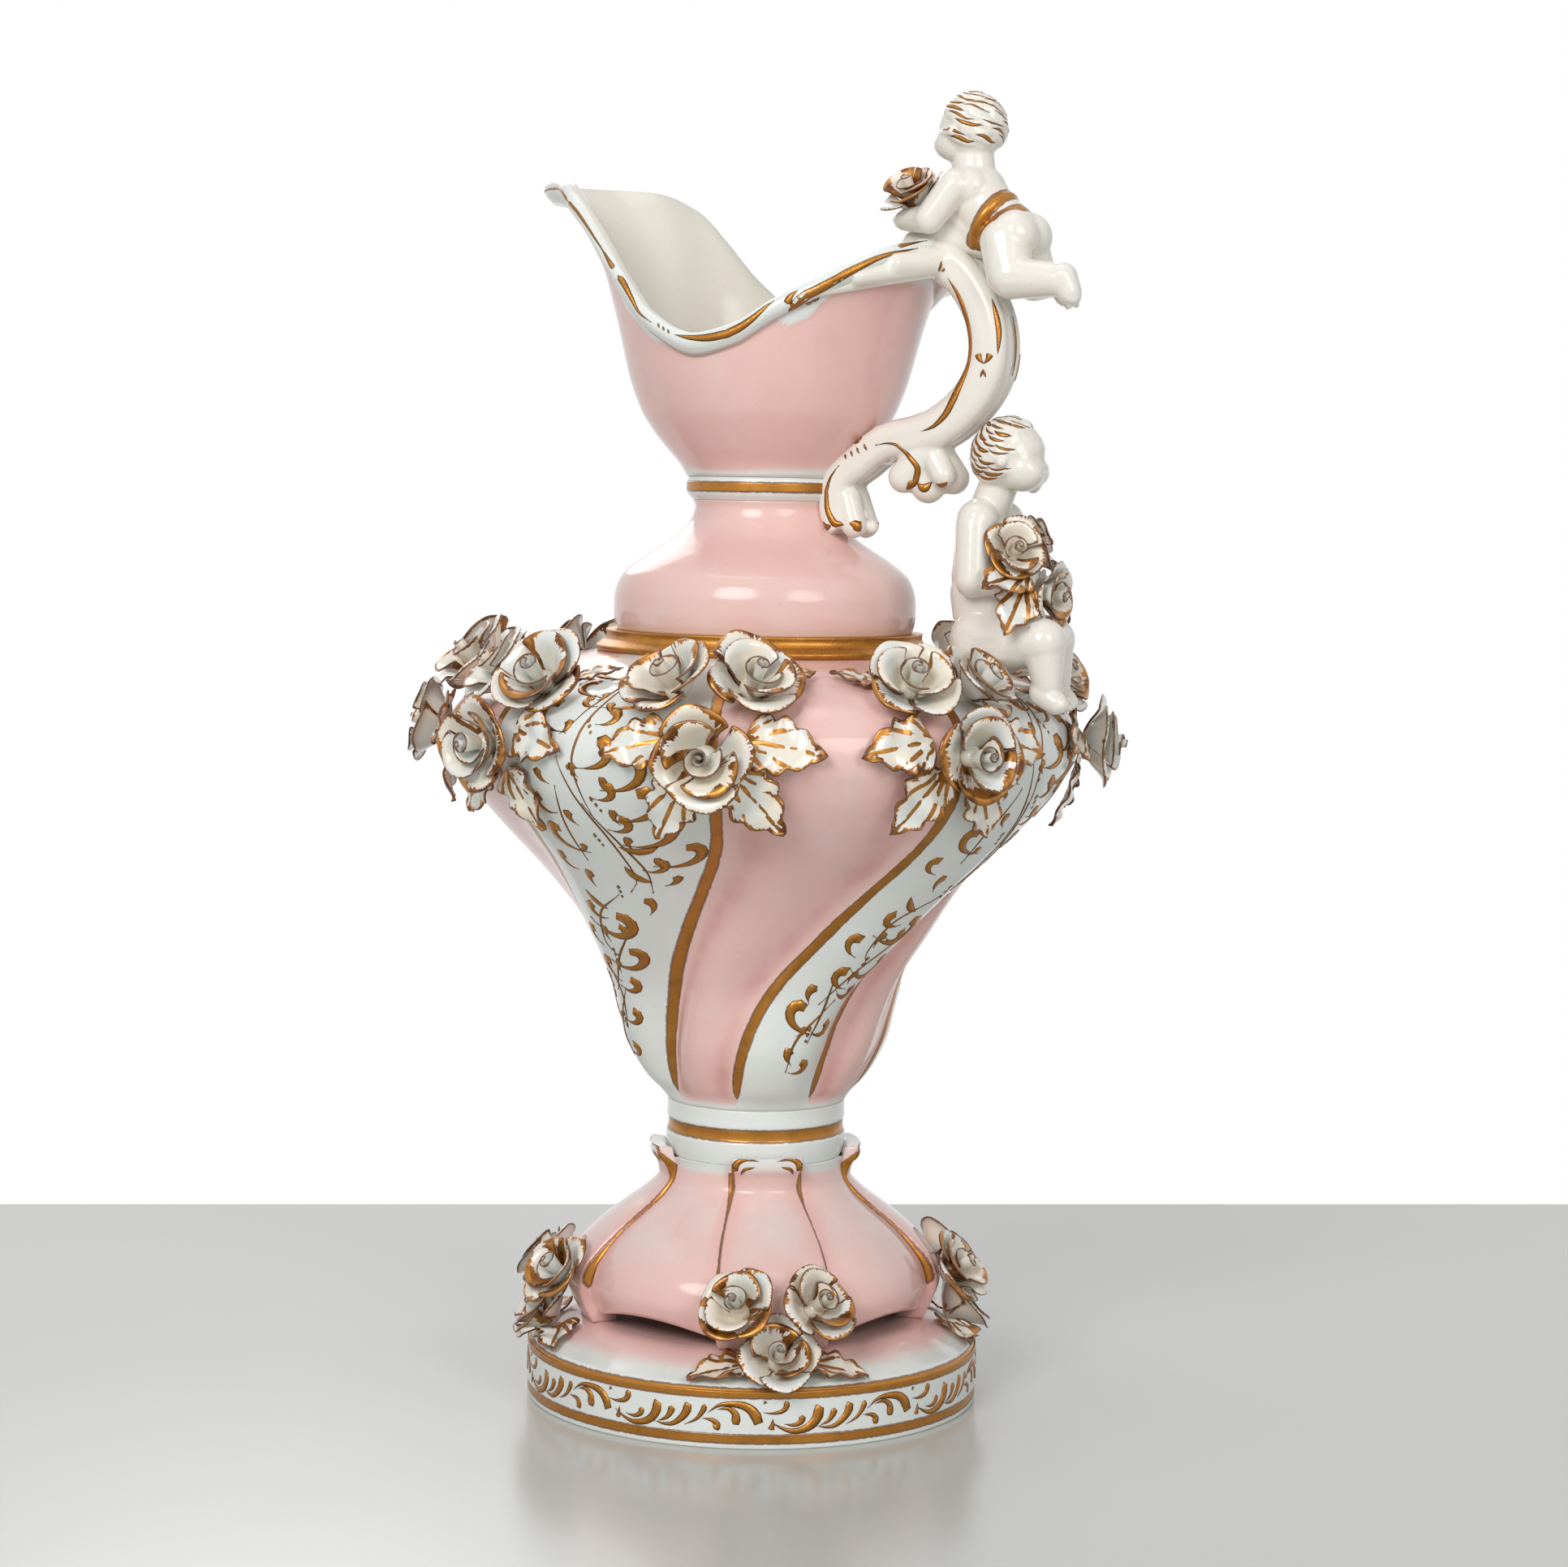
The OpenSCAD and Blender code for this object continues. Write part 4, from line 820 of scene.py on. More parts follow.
def foot_point(quarter, s, lap, k):
    """The foot's outside: angle, radius and height, then the angle from the leg's middle and half the leg's

    The place is the leg, how far across it or across the lappet, and the step up.
    """
    up, leg, arch = LEG_Z(k), leg_share(s), arch_share(lap)
    half = LEG_ANGLE / 2 * mix(0.92, 1.1, ease((up - 0.15) / 0.75))
    half = mix(LEG_ANGLE / 2, half, ease(k))
    edge = LEG_COLUMNS[-1] * half
    off = s * half if lap is None else edge + lap * (90 - 2 * edge)
    lap_r = FOOT_R * LAPPET_R(k) + (FOOT_R * 0.065 - 5) * max(0, 1 - k / 8) \
        + 2.5 * arch * math.sin(math.pi * min(1, k / 8))
    lap_z = lappet_low(arch)
    if k > 0:
        lap_z = max(lap_z + FOOT_H * 0.02 * k, FOOT_H * LAPPET_Z(k))
    round_leg = 1.1 * (1 - min(1, abs(s or 0)) ** 2) * leg * ease(k / 2) * ease((10 - k) / 2)
    r = mix(lap_r, FOOT_R * LEG_R(k) + round_leg - 0.6 * leg, leg)
    z = Z_FOOT + mix(lap_z, FOOT_H * up, leg)
    return LEG_START + 90 * quarter + off, r, z, off, half


class JUG_OT_foot(bpy.types.Operator):
    """Bell foot with four curled legs, lappets and gold in the creases"""
    bl_idname = "jug.foot"
    bl_label = "Foot"

    def execute(self, context):
        per = len(FOOT_COLUMNS)
        columns = 4 * per
        steps = [k / 4 for k in range(4 * FOOT_STEPS + 1)]

        def place(i, j):
            quarter, (s, lap) = i // per, FOOT_COLUMNS[i % per]
            if j >= len(steps):
                angle = foot_point(quarter, s, lap, 0)[0]
                if j < len(steps) + len(HOLLOW):
                    up, share = HOLLOW[j - len(steps)]
                    r = FOOT_R * (share + 0.074) - FOOT_WALL
                    return polar(r, angle, Z_FOOT + FOOT_H * up), 0.2, NO_GOLD
                leg = leg_share(s)
                return polar(mix(FOOT_R * 0.9 - FOOT_WALL, FOOT_R * 0.93 - 2 * FOOT_WALL, leg), angle,
                             Z_FOOT + mix(lappet_low(arch_share(lap)), 0, leg)), 0.5, NO_GOLD
            k = steps[j]
            angle, r, z, off, half = foot_point(quarter, s, lap, k)
            crease = abs(abs(off) - 1.09 * half) * math.radians(r)
            gold = CREASE_GOLD(z) / 2 - crease if 51 < z < 108 and k < 10.5 else NO_GOLD
            # Pink: deep in the creases, partly as painted shade, and low on the lappets, thin at the curls
            low = ease((0.3 - k / FOOT_STEPS) / 0.3) * (1 if lap is not None else 0.4)
            pink = 0.82 + 0.45 * low + 0.5 * math.exp(-(crease / 5) ** 2) \
                - 0.75 * ease((k - 8.5) / 2.5) - 0.2 * math.exp(-((k - 6) / 2) ** 2)
            return polar(r, angle, z), pink, gold
        rows = len(steps) + len(HOLLOW) + 1
        bm = place_tube(spun_tube(rows, columns, ring=True), columns, place, ("pink", "gold"))
        mark_crease_grime_and_shade(bm, rounds=8, depth=1.6)
        skin = skin_of(bm)
        keep(bm, "foot_glazed", [glazed("white glaze", glazes().white)], ["foot"])

        gilt = bmesh.new()
        for quarter in range(4):
            middle = LEG_START + 90 * quarter
            for side in (-1, 1):
                for path, width, form, count in (
                        ([(50, 18.6, 103), (49, 17, 108.5), (48, 12, 110.8), (48, 5, 110)], 4.2, fat_head,
                         14),
                        ([(47, 15, 101), (48, 12, 106), (48, 7, 107.5)], 1.5, full_middle, 8)):
                    gild(gilt, skin, [polar(r, middle + side * off, z) for r, off, z in path], width, form,
                         count)
        keep_gilding(gilt, "foot_gilding")
        return {"FINISHED"}


# Body: eight lobes that swirl down to the stem

# Radius by height, how far the lobes have turned, and how deep they and the grooves are, as shares
BODY_FORM = curve([(0, 0.278), (0.02, 0.3), (0.05, 0.343), (0.09, 0.382), (0.14, 0.417), (0.2, 0.443),
                   (0.26, 0.471), (0.32, 0.516), (0.38, 0.571), (0.44, 0.628), (0.5, 0.694), (0.56, 0.77),
                   (0.62, 0.851), (0.68, 0.922), (0.74, 0.973), (0.8, 1), (0.85, 0.988), (0.89, 0.95),
                   (0.925, 0.885), (0.955, 0.79), (0.98, 0.668), (1, 0.516)])
TWIST = curve([(0, 1), (0.03, 0.99), (0.1, 0.94), (0.16, 0.87), (0.23, 0.76), (0.3, 0.61), (0.37, 0.44),
               (0.44, 0.29), (0.51, 0.16), (0.58, 0.06), (0.64, 0.015), (0.7, 0)])
DEPTH = curve([(0, 0), (0.02, 0.25), (0.08, 0.6), (0.2, 0.85), (0.35, 1), (0.6, 1), (0.75, 0.7),
               (0.88, 0.4), (0.955, 0.15), (1, 0)])
GROOVE = curve([(0, 0), (0.03, 0.2), (0.08, 0.6), (0.14, 0.9), (0.2, 1), (0.58, 1), (0.65, 0.75),
                (0.72, 0.3), (0.78, 0)])
# Sections of a lobe and of the groove beside it, by degrees from the white lobe's middle
LOBE = curve([(0, 0), (8, 0.04), (12, 0.14), (16, 0.32), (19, 0.46), (22.5, 0.62), (25, 0.8), (29, 0.97),
              (33, 1), (39, 0.9), (45, 0.82)])
GROOVE_FORM = curve([(0, 0), (5, 0.08), (9, 0.25), (14, 0.56), (18, 0.83), (22.5, 1), (26, 0.92),
                     (30, 0.64), (35, 0.32), (40, 0.1), (45, 0)])
# Columns of points across one white and one pink lobe, closest at their borders, in degrees
LOBE_COLUMNS = [-44, -41, -38, -35.5, -33, -31, -29, -27.5, -26, -25, -24, -23.2, -22.5, -21.8, -21, -20,
                -18.5, -16.5, -14, -11, -8, -5, -2, 1, 4, 7, 10, 13, 16, 18.2, 19.8, 21, 21.9, 22.6, 23.3,
                24.2, 25.2, 26.3, 27.6, 29.2, 31, 33.2, 35.6, 38.2, 41]
# Heights of the rows inside the body, from the ring down, and share of the gold lines' width by height
BODY_INSIDE = [0.97, 0.95, 0.925, 0.89, 0.85, 0.8, 0.74, 0.66, 0.58, 0.5, 0.41, 0.32, 0.24, 0.16, 0.1,
               0.07]
LINE_TAPER = curve([(0, 0), (0.028, 0), (0.045, 0.55), (0.09, 0.9), (0.2, 1), (0.75, 1), (1, 0.85)])


def lobe_turn(share):
    """Angle of the first white lobe's middle at a height"""
    return LOBE_START - LOBE_TWIST * TWIST(share)


def body_radius(off, share):
    """Radius of the body's outside, off degrees from the middle of a white lobe"""
    off = swing(4 * off) / 4
    return BODY_R * BODY_FORM(share) - LOBE_DEPTH * DEPTH(share) * LOBE(abs(off)) \
        - GROOVE_DEPTH * GROOVE(share) * GROOVE_FORM(off)


def body_point(off, share, quarter=0):
    """A point of the body's outside, off degrees from the middle of a white lobe"""
    return polar(body_radius(off, share), lobe_turn(share) + off + 90 * quarter, Z_BODY + BODY_H * share)


def body_slope(share, near=0.01):
    """How fast the body widens with its height, over a short stretch"""
    return BODY_R * (BODY_FORM(share + near) - BODY_FORM(share - near)) / (2 * near * BODY_H)


def outline_step(p, q):
    """Length along the outline between two points, whatever their angles"""
    return math.hypot(math.hypot(p.x, p.y) - math.hypot(q.x, q.y), p.z - q.z)


def body_steps(gap):
    """Height shares of rows of points at even lengths along the outline, from the stem up"""
    fine = 2000
    out, here = [0.0], body_point(0, 0)
    for k in range(1, fine + 1):
        p = body_point(0, k / fine)
        if outline_step(p, here) >= gap:
            out.append(k / fine)
            here = p
    return out[:-1] + [1.0]


def measured_down(step):
    """Height shares at every step of the way down the outline, from the shoulder ring"""
    fine = 4000
    out, last, travelled = [1.0], body_point(0, 1), 0
    for k in range(1, fine + 1):
        share = 1 - k / fine
        p = body_point(0, share)
        travelled += outline_step(p, last)
        last = p
        while len(out) * step <= travelled:
            out.append(share)
    return out


REACH_STEP = 0.5
BODY_REACH = measured_down(REACH_STEP)


def body_share_at(reach):
    """Height share at a length along the outline down from the shoulder ring"""
    return BODY_REACH[min(len(BODY_REACH) - 1, max(0, int(reach / REACH_STEP)))]


class JUG_OT_body(bpy.types.Operator):
    """Baluster body with four white and four pink lobes and gold lines between them"""
    bl_idname = "jug.body"
    bl_label = "Body"

    def execute(self, context):
        per = len(LOBE_COLUMNS)
        columns = 4 * per
        outer = body_steps(1.9)
        width = sizes().line_w / MM
        wobble = Vector((0.31, 0.47, 0.73)) * sizes().seed

        def outside(quarter, off, share):
            """A point of the outside, its pink and its gold"""
            p = body_point(off, share, quarter)
            turn = lobe_turn(min(1, share + 0.01)) - lobe_turn(max(0, share - 0.01))
            slant = BODY_R * BODY_FORM(share) * math.radians(turn) / (0.02 * BODY_H * 1.3)
            a = abs(off)
            edge = abs(a - LOBE_EDGE) * math.radians(math.hypot(p.x, p.y)) / math.hypot(1, slant)
            half = width / 2 * LINE_TAPER(share) + 0.3 * noise.noise(p / 14 + wobble)
            # Pink: deeper in the hollow beside a white lobe, partly as painted shade; paler on the ridge and
            # beside the gold, as painted light
            hollow_shade = 0.5 * math.exp(-((a - 31) / 4.5) ** 2) * (0.5 + DEPTH(share) / 2)
            ridge_light = 0.2 * ease((a - 36) / 9) + 0.25 * math.exp(-((a - 25) / 1.5) ** 2)
            low = 0.2 * ease((0.2 - share) / 0.15)
            pink = ease((a - 22) / 1.2) * (0.98 - ridge_light + hollow_shade + low) * ease(share / 0.035)
            return p, pink, half - edge if 0.03 < share < 0.995 else NO_GOLD

        def place(i, j):
            quarter, off = i // per, LOBE_COLUMNS[i % per]
            if j == 0:
                return Vector((0, 0, Z_BODY)), 0, NO_GOLD
            j -= 1
            if j < len(outer):
                return outside(quarter, off, outer[j])
            j -= len(outer)
            angle = LOBE_START + 90 * quarter + off
            if j < 2:
                return polar(BORE_R, angle, Z_RING - BODY_WALL * j), 0.1, NO_GOLD
            j -= 2
            if j < len(BODY_INSIDE):
                share = BODY_INSIDE[j]
                rise = body_slope(share)
                k = math.hypot(1, rise)
                deepest = LOBE_DEPTH * DEPTH(share) + GROOVE_DEPTH * GROOVE(share)
                return polar(BODY_R * BODY_FORM(share) - deepest - BODY_WALL / k, angle,
                             Z_BODY + BODY_H * share + BODY_WALL * rise / k), 0, NO_GOLD
            return Vector((0, 0, Z_BODY + BODY_H * 0.04)), 0, NO_GOLD
        rows = 1 + len(outer) + 2 + len(BODY_INSIDE) + 1
        bm = place_tube(spun_tube(rows, columns), columns, place, ("pink", "gold"))
        mark_crease_grime_and_shade(bm, rounds=5, depth=3.5)
        skin = skin_of(bm)
        keep(bm, "body_glazed", [glazed("white glaze", glazes().white)], ["body"])
        gilt = bmesh.new()
        for quarter in range(4):
            paint_lobe(gilt, skin, quarter)
        keep_gilding(gilt, "body_gilding")
        return {"FINISHED"}


# Brush strokes, in millimetres from the head, right and then down; then by kind their path, width, form and
# number of steps
HOOK = [(0, 0), (0.8, -1.7), (3.2, -2.2), (5.4, -0.2), (5.2, 3.6), (2.2, 7.2), (-3.6, 9.4), (-10.5, 9.8)]
CURL = [(0, 0), (1.6, -1.2), (3.2, 0.3), (2.6, 3.0), (-0.6, 4.6), (-4.2, 4.4)]
TEAR = [(0, 0), (1.0, 2.2), (0.6, 4.6), (-1.6, 7.0)]
BLADE = [(0, 0), (4.0, 2.6), (8.5, 3.6), (13.0, 3.0)]
DASH = [(0, 0), (0.5, 2.4)]
HEADS = {"hook": (HOOK, 6.8, comma, 14), "curl": (CURL, 5.6, comma, 9), "tear": (TEAR, 5, comma, 7),
         "blade": (BLADE, 3.8, full_middle, 9), "dash": (DASH, 1.7, full_middle, 3)}
# Thin stems of a lobe: across as a share of its half width, and down from the ring in millimetres
LOBE_STEMS = [[(-0.1, 12), (0.08, 30), (0.0, 52), (-0.2, 74)],
              [(0.14, 34), (0.02, 58), (-0.12, 84), (-0.02, 112)],
              [(-0.3, 78), (-0.18, 98), (0.05, 122), (0.3, 146), (0.26, 156)],
              [(-0.1, 104), (0.12, 124), (0.42, 142), (0.56, 156)],
              [(-0.34, 96), (-0.42, 118), (-0.3, 138)],
              [(0.1, 158), (-0.24, 170), (-0.2, 186), (0.1, 194)],
              [(0.34, 176), (0.1, 196), (-0.1, 214)],
              [(-0.28, 200), (0.1, 216), (0.16, 232)],
              [(0.2, 212), (-0.12, 230), (-0.06, 246)]]
# Strokes either side of the stems: kind, across, down, size, side that the tail leaves to, turn
LOBE_STROKES = [
    ("hook", 0.12, 14, 0.9, 1, 10), ("curl", -0.22, 18, 1, -1, 0), ("hook", -0.3, 27, 1.1, -1, 8),
    ("hook", 0.3, 28, 1.15, 1, 0), ("curl", 0.2, 41, 1.1, 1, 0), ("hook", -0.26, 44, 1, -1, 0),
    ("hook", 0.34, 50, 1.25, 1, 5), ("curl", -0.1, 56, 1, -1, 10), ("hook", -0.44, 62, 1.2, -1, 0),
    ("curl", 0.16, 63, 1.15, 1, 0), ("hook", 0.4, 70, 1.2, 1, 0), ("curl", -0.34, 77, 1.1, -1, -10),
    ("hook", 0.12, 79, 1.05, 1, 0), ("hook", 0.4, 86, 1.25, 1, 5), ("tear", -0.5, 88, 1.2, -1, 20),
    ("curl", 0.14, 96, 1.25, 1, 0), ("hook", 0.42, 100, 1.3, 1, 0), ("curl", -0.56, 104, 1.3, -1, 0),
    ("curl", 0.2, 112, 1.3, 1, 0), ("hook", 0.5, 115, 1.3, 1, 0), ("hook", 0.78, 128, 1.1, 1, -5),
    ("tear", -0.28, 108, 1.1, -1, 10), ("hook", -0.52, 122, 1.1, -1, 10), ("blade", 0.12, 128, 1.25, 1, -25),
    ("curl", 0.52, 138, 1.2, 1, 0), ("tear", 0.78, 145, 1.2, 1, 10), ("curl", -0.66, 138, 1.1, -1, 0),
    ("tear", -0.3, 146, 1.4, -1, 0), ("blade", 0.2, 140, 1.1, 1, 15), ("blade", -0.5, 158, 0.9, 1, 10),
    ("tear", 0.46, 160, 1.6, 1, -30), ("curl", -0.36, 168, 1.2, -1, 30), ("hook", 0.08, 173, 1.35, 1, 0),
    ("curl", 0.1, 178, 1.1, 1, 0), ("curl", -0.5, 182, 1.2, -1, 0), ("hook", 0.38, 193, 1.1, 1, 0),
    ("curl", -0.1, 200, 1.3, -1, 0), ("tear", -0.45, 205, 1.2, -1, 0), ("curl", 0.34, 208, 1.2, 1, 10),
    ("hook", -0.34, 218, 0.9, -1, 0), ("curl", 0.34, 225, 1.2, 1, 0), ("tear", -0.16, 234, 1.1, -1, 10),
    ("curl", 0.2, 242, 1.0, 1, 0)]
# Where each row of three dashes starts
LOBE_DASHES = [(-0.04, 30), (-0.02, 66), (-0.16, 86), (0.0, 100), (-0.1, 120), (0.1, 152), (0.0, 190),
               (0.04, 224)]


def lobe_place(across, down, quarter):
    """A point on a white lobe, by its share of the half width and its way down from the ring"""
    share = body_share_at(down)
    half = LOBE_EDGE - math.degrees(4.2 / max(20, BODY_R * BODY_FORM(share)))
    return body_point(across * half, share, quarter)


def brush(gilt, skin, kind, seat, down, size, side, turn):
    """One stroke of a kind with its head at a seat on the skin; down is the way that it hangs"""
    path, width, form, count = HEADS[kind]
    _, normal, _, _ = skin.find_nearest(seat)
    down = (down - normal * down.dot(normal)).normalized()
    right = down.cross(normal) * -side
    c, s = math.cos(math.radians(turn)) * size, math.sin(math.radians(turn)) * size
    line = [seat + right * (u * c - v * s) + down * (u * s + v * c) for u, v in path]
    gild(gilt, skin, line, width * size ** 0.5, form, count)


def paint_lobe(gilt, skin, quarter):
    """Paints the scrollwork on one white lobe"""
    rng = random.Random(sizes().seed + quarter)

    def down_at(across, down):
        """The way that a stroke hangs there"""
        return lobe_place(across, down + 3, quarter) - lobe_place(across, down, quarter)
    for stem in LOBE_STEMS:
        line = [lobe_place(x + rng.uniform(-0.02, 0.02), y, quarter) for x, y in stem]
        gild(gilt, skin, line, 1.15, full_middle, 22)
    for kind, across, down, size, side, turn in LOBE_STROKES:
        seat = lobe_place(across + rng.uniform(-0.03, 0.03), down + rng.uniform(-1, 1), quarter)
        hang = down_at(across, down)
        brush(gilt, skin, kind, seat, hang, size * rng.uniform(0.92, 1.08), side, turn + rng.uniform(-8, 8))
        if kind == "hook":
            seat = lobe_place(across - 0.22 * side, down + 6 + rng.uniform(-1, 1), quarter)
            brush(gilt, skin, "tear", seat, hang, size * 0.85, -side, turn + rng.uniform(-12, 12))
    for across, down in LOBE_DASHES:
        for k in range(3):
            seat = lobe_place(across + 0.03 * k, down + 3.2 * k, quarter)
            brush(gilt, skin, "dash", seat, down_at(across, down), 1.1 - 0.2 * k, 1, 10)


# Mouth

# The rim by degrees from the spout: its reach and its height over the dip, as shares
RIM = [(0, 1, 1), (12, 0.85, 1), (24, 0.58, 0.99), (37, 0.47, 0.88), (45, 0.31, 0.69), (54, 0.19, 0.47),
       (62, 0.15, 0.33), (72, 0.08, 0.14), (90, 0, 0), (106, 0.02, 0.06), (120, 0.07, 0.2),
       (133, 0.16, 0.32), (146, 0.24, 0.44), (160, 0.3, 0.55), (180, 0.4, 0.63)]
RIM_BOTH = [(-p[0], *p[1:]) for p in RIM[:0:-1]] + RIM
RIM_OUT, RIM_UP = curve(RIM_BOTH, 1), curve(RIM_BOTH, 2)
# How far the funnel has opened from the neck to the rim, by height up to the dip
FUNNEL = curve([(0, 0), (0.09, 0.1), (0.22, 0.32), (0.34, 0.5), (0.47, 0.66), (0.6, 0.76), (0.72, 0.83),
                (0.85, 0.88), (1.1, 0.94), (1.4, 0.985), (2.3, 1.03)])
# Section of the rolled lip, outward and up in rolls
LIP = [(-0.02, -0.95), (0.16, -0.78), (0.36, -0.62), (0.5, -0.42), (0.56, -0.2), (0.55, 0), (0.47, 0.2),
       (0.32, 0.33), (0.12, 0.38), (-0.1, 0.36), (-0.3, 0.26), (-0.46, 0.1)]
# How far down from the rim the white goes: wide at the spout, the notch and the handle
RIM_WHITE = curve([(0, 17), (40, 18), (55, 18), (64, 15), (72, 11), (78, 8.6), (86, 6.4), (93, 5.2),
                   (107, 5.4), (119, 6), (123, 9), (127, 13), (133, 13.6), (138, 10), (143, 8.6), (150, 10),
                   (157, 12.5), (168, 16), (180, 19)])
# Gilt strokes on the rim, on both sides: degrees from the spout and millimetres down, width and form
RIM_STROKES = [
    ([(6, 1.6), (18, 1.3), (30, 0.7), (41, -0.6), (50, -1.8), (57, -2.6)], 1.5, full_middle),
    ([(57.5, -2.4), (54.5, -2.6), (50.5, -2.2)], 2.6, fat_head),
    ([(60.3, -2.9), (62.8, -2.6), (66.6, -1.2), (70, 0.5), (75, 0.4)], 3.4, fat_head),
    ([(84, -0.3), (93, -0.2), (101, 1.2), (107, 1.2), (112.2, 0.6), (116.6, -0.6), (120.5, -2.4)], 3.8,
     full_middle),
    ([(126, 6.8), (129.6, 3.8), (133.2, 3.1), (137, 2.3), (142.4, 1.2), (148, 0.4), (155, 0.2), (167, 0.6)],
     6.2, fat_head),
    ([(125, 2.6), (126, -0.1), (128.2, -1.2)], 4.0, fat_head),
    ([(132.8, 10.6), (134.4, 7.2)], 3.2, fat_head), ([(136.2, 10.8), (134.4, 7.4)], 3.2, fat_head),
    ([(160, -2.6), (166, -2.8), (171, -2.8)], 2.2, fat_head)]


def from_spout(angle):
    """Degrees from the spout, either way"""
    return abs(swing(angle - 180))


def rim_r(angle):
    """Reach of the rim from the axis"""
    return mix(MOUTH_R, SPOUT_REACH, RIM_OUT(from_spout(angle)))


def rim_z(angle):
    """Height of the rim"""
    return Z_DIP + SPOUT_RISE * RIM_UP(from_spout(angle))


def funnel_r(z):
    """Radius of the round funnel at a height"""
    return mix(NECK_R, MOUTH_R - RIM_ROLL / 2, FUNNEL((z - Z_MOUTH) / (Z_DIP - Z_MOUTH)))


def mouth_r(angle, t):
    """Radius of the mouth's outside as t goes from the neck collar to the rim"""
    z = mix(Z_MOUTH, rim_z(angle), t)
    return funnel_r(z) + (rim_r(angle) - RIM_ROLL / 2 - funnel_r(rim_z(angle))) * t ** 3.2


class JUG_OT_mouth(bpy.types.Operator):
    """Pink funnel mouth with a long spout, a white rolled rim in waves and an ivory inside"""
    bl_idname = "jug.mouth"
    bl_label = "Mouth"

    def execute(self, context):
        up = [t / 44 * 0.935 for t in range(45)]
        down = [1 - t / 28 * 0.99 for t in range(1, 29)]
        throat = WAIST_R - MOUTH_WALL

        def outside(a, t):
            """A point of the outside, its pink and its gold: the white border stands a little proud"""
            z = mix(Z_MOUTH, rim_z(a), t)
            below, border, turn = rim_z(a) - z, RIM_WHITE(from_spout(a)), from_spout(a)
            back = 0.25 * ease((turn - 95) / 60) * ease((90 - below) / 60)
            pink = (1 - ease((border - below) / 2.2)) * (0.8 + 0.15 * ease(below / 60) + back)
            proud = 0.7 * ease((border - below) / 3)
            return polar(mouth_r(a, t) + proud, a, z), pink * ease((t - 0.015) / 0.05), NO_GOLD

        def place(i, j):
            a = 360 * i / WIDE_COLUMNS
            if j < len(up):
                return outside(a, up[j])
            j -= len(up)
            if j < len(LIP):
                out, rise = LIP[j]
                r = rim_r(a) - RIM_ROLL / 2 + RIM_ROLL * out
                return polar(r, a, rim_z(a) + RIM_ROLL * rise), 0, NO_GOLD
            j -= len(LIP)
            if j < len(down):
                r = mix(throat, mouth_r(a, down[j]) - MOUTH_WALL, min(1, down[j] * 10))
                return polar(r, a, mix(Z_MOUTH, rim_z(a), down[j])), 0, NO_GOLD
            return polar(throat, a, Z_MOUTH), 0, NO_GOLD
        rows = len(up) + len(LIP) + len(down) + 1
        bm = place_tube(spun_tube(rows, WIDE_COLUMNS, ring=True), WIDE_COLUMNS, place, ("pink", "gold"))
        mark_crease_grime_and_shade(bm, rounds=6, depth=2.5)
        skin = skin_of(bm)
        for f in bm.faces:
            c = f.calc_center_median()
            if f.normal.dot(Vector((c.x, c.y, 0))) < 0:
                f.material_index = 1
        outside_in = [glazed("white glaze", glazes().white), glazed("ivory glaze", glazes().ivory)]
        keep(bm, "mouth_glazed", outside_in, ["mouth"])

        def on_rim(turn, below):
            """A point at the rim, by its signed degrees from the spout and its way down"""
            a = 180 + turn
            return polar(rim_r(a) + (0.5 if below < 5 else -2), a, rim_z(a) - below)
        gilt = bmesh.new()
        for side in (-1, 1):
            for points, width, form in RIM_STROKES:
                gild(gilt, skin, [on_rim(side * t, b) for t, b in points], width, form, 18)
            for k in range(3):
                dot = [on_rim(side * (77.6 + 1.9 * k), -1.4), on_rim(side * (78.3 + 1.9 * k), 0.4)]
                gild(gilt, skin, dot, 0.9, full_middle, 4)
        keep_gilding(gilt, "mouth_gilding")
        return {"FINISHED"}


# Handle

BACK_H = rim_z(0) - Z_MOUTH
# Centre line of the band from the rim round: reach, height and share of the thickness
BAND = [(0.66, 0.945, 0.9), (0.72, 0.925, 1), (0.795, 0.868, 1), (0.855, 0.78, 1), (0.897, 0.68, 1),
        (0.915, 0.57, 1), (0.905, 0.46, 1), (0.862, 0.36, 1), (0.795, 0.275, 1), (0.715, 0.21, 1),
        (0.625, 0.172, 0.95), (0.53, 0.155, 0.88)]
# Its lower end beside the neck: place outward from the neck in thicknesses, height, share of the thickness
BRANCH = [(0.74, 0.115, 0.86), (0.6, 0.065, 0.86), (0.3, 0.005, 0.86), (0.16, -0.07, 0.84),
          (0.18, -0.145, 0.82), (0.42, -0.205, 0.82)]
# Section of the band with its grooves: outward and across, in halves of its thickness and width
BAND_SECTION = [(1, 0), (0.93, 0.13), (0.84, 0.27), (0.9, 0.4), (0.99, 0.52), (0.95, 0.68), (0.8, 0.85),
                (0.45, 1), (0.05, 1.0), (-0.4, 1.04), (-0.85, 0.97), (-1.2, 0.75), (-1.4, 0.4), (-1.42, 0)]
BAND_SECTION += [(out, -across) for out, across in BAND_SECTION[-2:0:-1]]
# Knobs of the scroll under the band: reach, height, place across and share of the thickness
KNOBS = [(0.585, 0.01, -0.5, 0.92), (0.66, -0.025, -0.05, 1), (0.735, 0.01, 0.42, 0.95),
         (0.735, 0.02, -0.42, 0.7), (0.585, 0.01, 0.5, 0.8)]
# Limbs of the curled lower end, on both sides: two ends (outward, up, across, share of the thickness)
CURLED = [((0.72, -0.2, 1, 0.72), (0.45, -0.08, 0.8, 0.75)), ((0.2, -0.16, 0.8, 0.6), (0.1, 0.05, 0.7, 0.8)),
          ((0.5, 0.19, 0.7, 0.55), (0.95, 0.12, 0.6, 0.75))]
